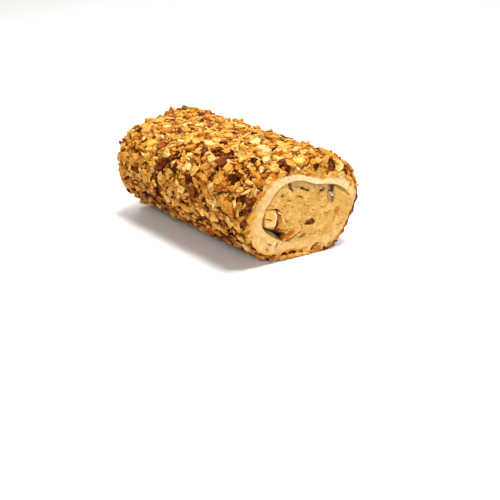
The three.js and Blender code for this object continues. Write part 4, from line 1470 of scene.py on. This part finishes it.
# %% The pushed nut
PUSHED_AT, PUSHED_SIZE, PUSHED_DEPTH = (5.8, -13.8), (3.9, 3.4, 2.4), 0.2
PUSHED_FOOT = 0.8  # under its middle
PUSHED_DARK = 1.2  # depth of its dark zone

cut_normal = np.array([1.0, -FRONT_SLANT, 0.0]) / np.hypot(1, FRONT_SLANT)
foot = np.array([along_roll(1.0, PUSHED_AT[0]), *PUSHED_AT]) - PUSHED_DEPTH * cut_normal
side = np.cross([0, 0, 1], cut_normal)
pushed = {
    "foot": foot[None] - PUSHED_FOOT * cut_normal, "normal": cut_normal[None], "centre": foot[None],
    "frame": np.stack([side, [0, 0, 1], cut_normal], axis=1)[None], "size": np.array([PUSHED_SIZE]),
    "kind": np.array(["toasted"]), "shape": np.array([WORN[1]]), "depth": np.array([PUSHED_DARK]),
}
spots = joined([spots, pushed])
print("the pushed nut is", PUSHED_SIZE, "mm")

# %% [markdown]
# The spread nuts make room for the placed ones: those whose foot is under one are left out.

# %% Make room
UNDER_SPOT = 0.34  # of a spot's length: nuts whose foot is nearer are left out


def away_from(nuts, places, clear):
    """The nuts of a batch whose foot is further than a clear distance from each place."""
    far = [np.linalg.norm(nuts["foot"] - place, axis=1) > by for place, by in zip(places, clear)]
    return kept(nuts, np.all(far, axis=0))


spread = away_from(spread, spots["foot"], UNDER_SPOT * spots["size"][:, 0])
print(len(spread["foot"]), "nuts are left beside the placed ones")

# %% [markdown]
# The skin comes off in small flakes, so some of the nuts beside a dark group have skin as well.

# %% Dark neighbours
STAINED, STAINED_SHARE = 0.6, 0.4  # of a dark spot's length, and how many nuts in it have skin
CLEAR_OF_CUTS = 1.4  # nuts whose dark zone is deeper than this lie away from the cuts

for foot, size in zip(skins["foot"], skins["size"]):
    near = np.linalg.norm(spread["foot"] - foot, axis=1) < STAINED * size[0]
    stained = near & (spread["depth"] > CLEAR_OF_CUTS) & (rng.random(len(near)) < STAINED_SHARE)
    spread["kind"][stained] = "skin"
print((spread["kind"] == "skin").sum(), "of the spread nuts have skin")

# %% [markdown]
# Few nuts stick in the groove, so the dark nougat shows there as a fissure. They are left out along
# it, by the pixels that it passes in the photograph.

# %% Clear the groove
GROOVE_PIXELS = [(154, 173), (155, 178), (156, 183), (157, 189), (157.5, 195), (158.5, 201)]
GROOVE_CLEAR = 1.35

groove = [crust(*place_at(x, y)[:2]) for x, y in GROOVE_PIXELS]
spread = away_from(spread, groove, [GROOVE_CLEAR] * len(groove))
print(len(spread["foot"]), "nuts are left beside the groove")

# %% [markdown]
# The sides that the photograph doesn't show have dark groups as well, where noise is high. They start
# a little behind the outline, so that they don't change it.

# %% Dark groups on the hidden sides
CLUSTER_SIZE, CLUSTER_SHIFT, CLUSTERED_SHARE = 5.0, 5.0, 0.45
CLUSTER_EDGE = (0.1, 0.5)
PAST_OUTLINE = -0.25  # how far a nut has to face away, so that it is clear of the outline

to_eye = EYE - spread["foot"]
toward = np.sum(spread["normal"] * to_eye, axis=1) / np.linalg.norm(to_eye, axis=1)
hidden = toward < PAST_OUTLINE
clustered = step_up(uneven(spread["foot"], CLUSTER_SIZE, CLUSTER_SHIFT), *CLUSTER_EDGE)
spread["kind"][hidden & (rng.random(len(hidden)) < CLUSTERED_SHARE * clustered)] = "skin"
nuts = joined([spread, spots])
print(len(nuts["foot"]), "nuts in all,", (nuts["kind"] == "skin").sum(), "of them with skin")

# %% [markdown]
# ## The crust of nuts
# All nuts of one colour become one mesh. Each nut has its own shade, and each of its broken sides
# differs a little more. Nuts are darker towards their foot, with painted shade where little light
# gets to. Points that would be under the table are pressed up to it, and points past the knife's
# cut are trimmed back to it.

# %% A colour for each nut
NUT_TONES = {
    "golden": [colour(230, 166, 68), colour(218, 150, 52), colour(238, 178, 82), colour(226, 158, 58)],
    "pale": [colour(242, 192, 104), colour(236, 182, 90), colour(250, 206, 124)],
    "toasted": [colour(200, 124, 40), colour(172, 94, 28), colour(216, 142, 52)],
    "skin": [colour(98, 40, 9), colour(72, 28, 5), colour(124, 58, 18), colour(132, 68, 24)],
    "cream": [colour(250, 208, 138), colour(246, 200, 124)],
    "orange": [colour(236, 146, 38), colour(226, 128, 28)],
}

PUSHED_TONE, PUSHED_LIGHT = 0.0, 0.95  # the pushed nut comes last
own_tone = rng.random(len(nuts["foot"]))  # picks one of the colours of its kind
own_light = rng.uniform(0.84, 1.12, len(nuts["foot"]))
own_tone[-1], own_light[-1] = PUSHED_TONE, PUSHED_LIGHT
print("colours:", {kind: len(tones) for kind, tones in NUT_TONES.items()})

# %% Helpers: nuts in their places
TRIM, PUSHED_BACK = 0.3, 0.8  # in mm, and how much of what is past it is pushed back, not cut off
TABLE_PLAY = 0.15  # pressed nuts end up to this far over the table


def placed_nuts(mine, shape):
    """Points of the nuts that share a shape, and how high each is over the nougat."""
    points = np.einsum("nij,nvj->nvi", nuts["frame"][mine], shape * nuts["size"][mine][:, None])
    points += nuts["centre"][mine][:, None]
    height = np.einsum("nvi,ni->nv", points - nuts["foot"][mine][:, None], nuts["normal"][mine])
    return points, height


def trimmed(points):
    """Press points up to the table and back to the cuts."""
    table = -AXIS_HEIGHT + rng.uniform(0, TABLE_PLAY, (len(points), 1))
    points[:, :, 2] = np.maximum(points[:, :, 2], table)
    front = along_roll(1.0, points[:, :, 1]) + TRIM
    back = along_roll(0.0, points[:, :, 1]) - TRIM
    past_front = np.maximum((points[:, :, 0] - front).max(axis=1), 0)
    past_back = np.maximum((back - points[:, :, 0]).max(axis=1), 0)
    points[:, :, 0] += PUSHED_BACK * (past_back - past_front)[:, None]
    points[:, :, 0] = np.clip(points[:, :, 0], back, front)
    return points


# %% [markdown]
# Two shadows are worked into the colours, because real light hardly gets down between the nuts. One
# grows with depth in the crust, and reaches higher on the roll's lower half. The other is at the foot
# of each single nut. Both painted shadows are redder as well as darker.

# %% Helper: shade the nuts
FOOT_SHADE = 0.06  # of the colour, deep in the crust
EDGE_SHADE = 1.0  # more of it for each mm by which the crust is thinner at a cut
DARK_UP_TO, LIGHT_FROM = 0.03, 0.78  # of the dark zone's depth
LOW_SIDE = 0.8  # how much higher the dark zone reaches on the roll's lower half
LOW_SHARPER = 0.3  # and how much shorter its soft end is there
LOW_FULL = 0.7  # how far down a nut has to face for all of that
NUT_FOOT, NUT_LIGHT_FROM = 0.3, 0.75  # of the colour at a nut's own foot, and of its height
SIDE_LIGHT = (0.7, 1.16)  # how much broken sides differ
PAINTED_SHADE_POWERS = np.array([0.9, 2.0, 4.0])  # powers of the shade in red, green and blue


def shaded(mine, height, shape_faces, tones):
    """A colour for each corner of each face."""
    base = np.array(tones)[(own_tone[mine] * len(tones)).astype(int)] * own_light[mine][:, None]
    side = rng.uniform(*SIDE_LIGHT, (len(mine), len(shape_faces)))
    depth = nuts["depth"][mine][:, None]
    darkest = FOOT_SHADE + EDGE_SHADE * (FULL_DEPTH - depth)
    below = LOW_SIDE * step_up(-nuts["normal"][mine, 2:], 0.0, LOW_FULL)
    light_from = LIGHT_FROM - LOW_SHARPER * below
    shade = darkest + (1 - darkest) * step_up(height / depth - below, DARK_UP_TO, light_from)
    own = (height - height.min(axis=1, keepdims=True)) / np.ptp(height, axis=1)[:, None]
    shade *= NUT_FOOT + (1 - NUT_FOOT) * step_up(own, 0.0, NUT_LIGHT_FROM)
    return base[:, None, None] * shade[:, shape_faces][..., None] ** PAINTED_SHADE_POWERS * side[..., None, None]


# %% Join the nuts of each kind
for kind, tones in NUT_TONES.items():
    points, faces, corners = [], [], []
    for number, (shape, shape_faces) in enumerate(shapes):
        mine = np.flatnonzero((nuts["kind"] == kind) & (nuts["shape"] == number))
        if len(mine):
            placed, height = placed_nuts(mine, shape)
            first_points = len(shape) * np.arange(len(mine)) + sum(len(part) for part in points)
            points.append(trimmed(placed).reshape(-1, 3))
            faces.append((shape_faces + first_points[:, None, None]).reshape(-1, 3))
            corners.append(shaded(mine, height, shape_faces, tones).reshape(-1, 3, 3))
    finish = skin_finish if kind == "skin" else nut_finish
    add_piece(
        f"{kind}_nuts", np.concatenate(points), np.concatenate(faces), finish, FACETED,
        np.concatenate(corners),
    )
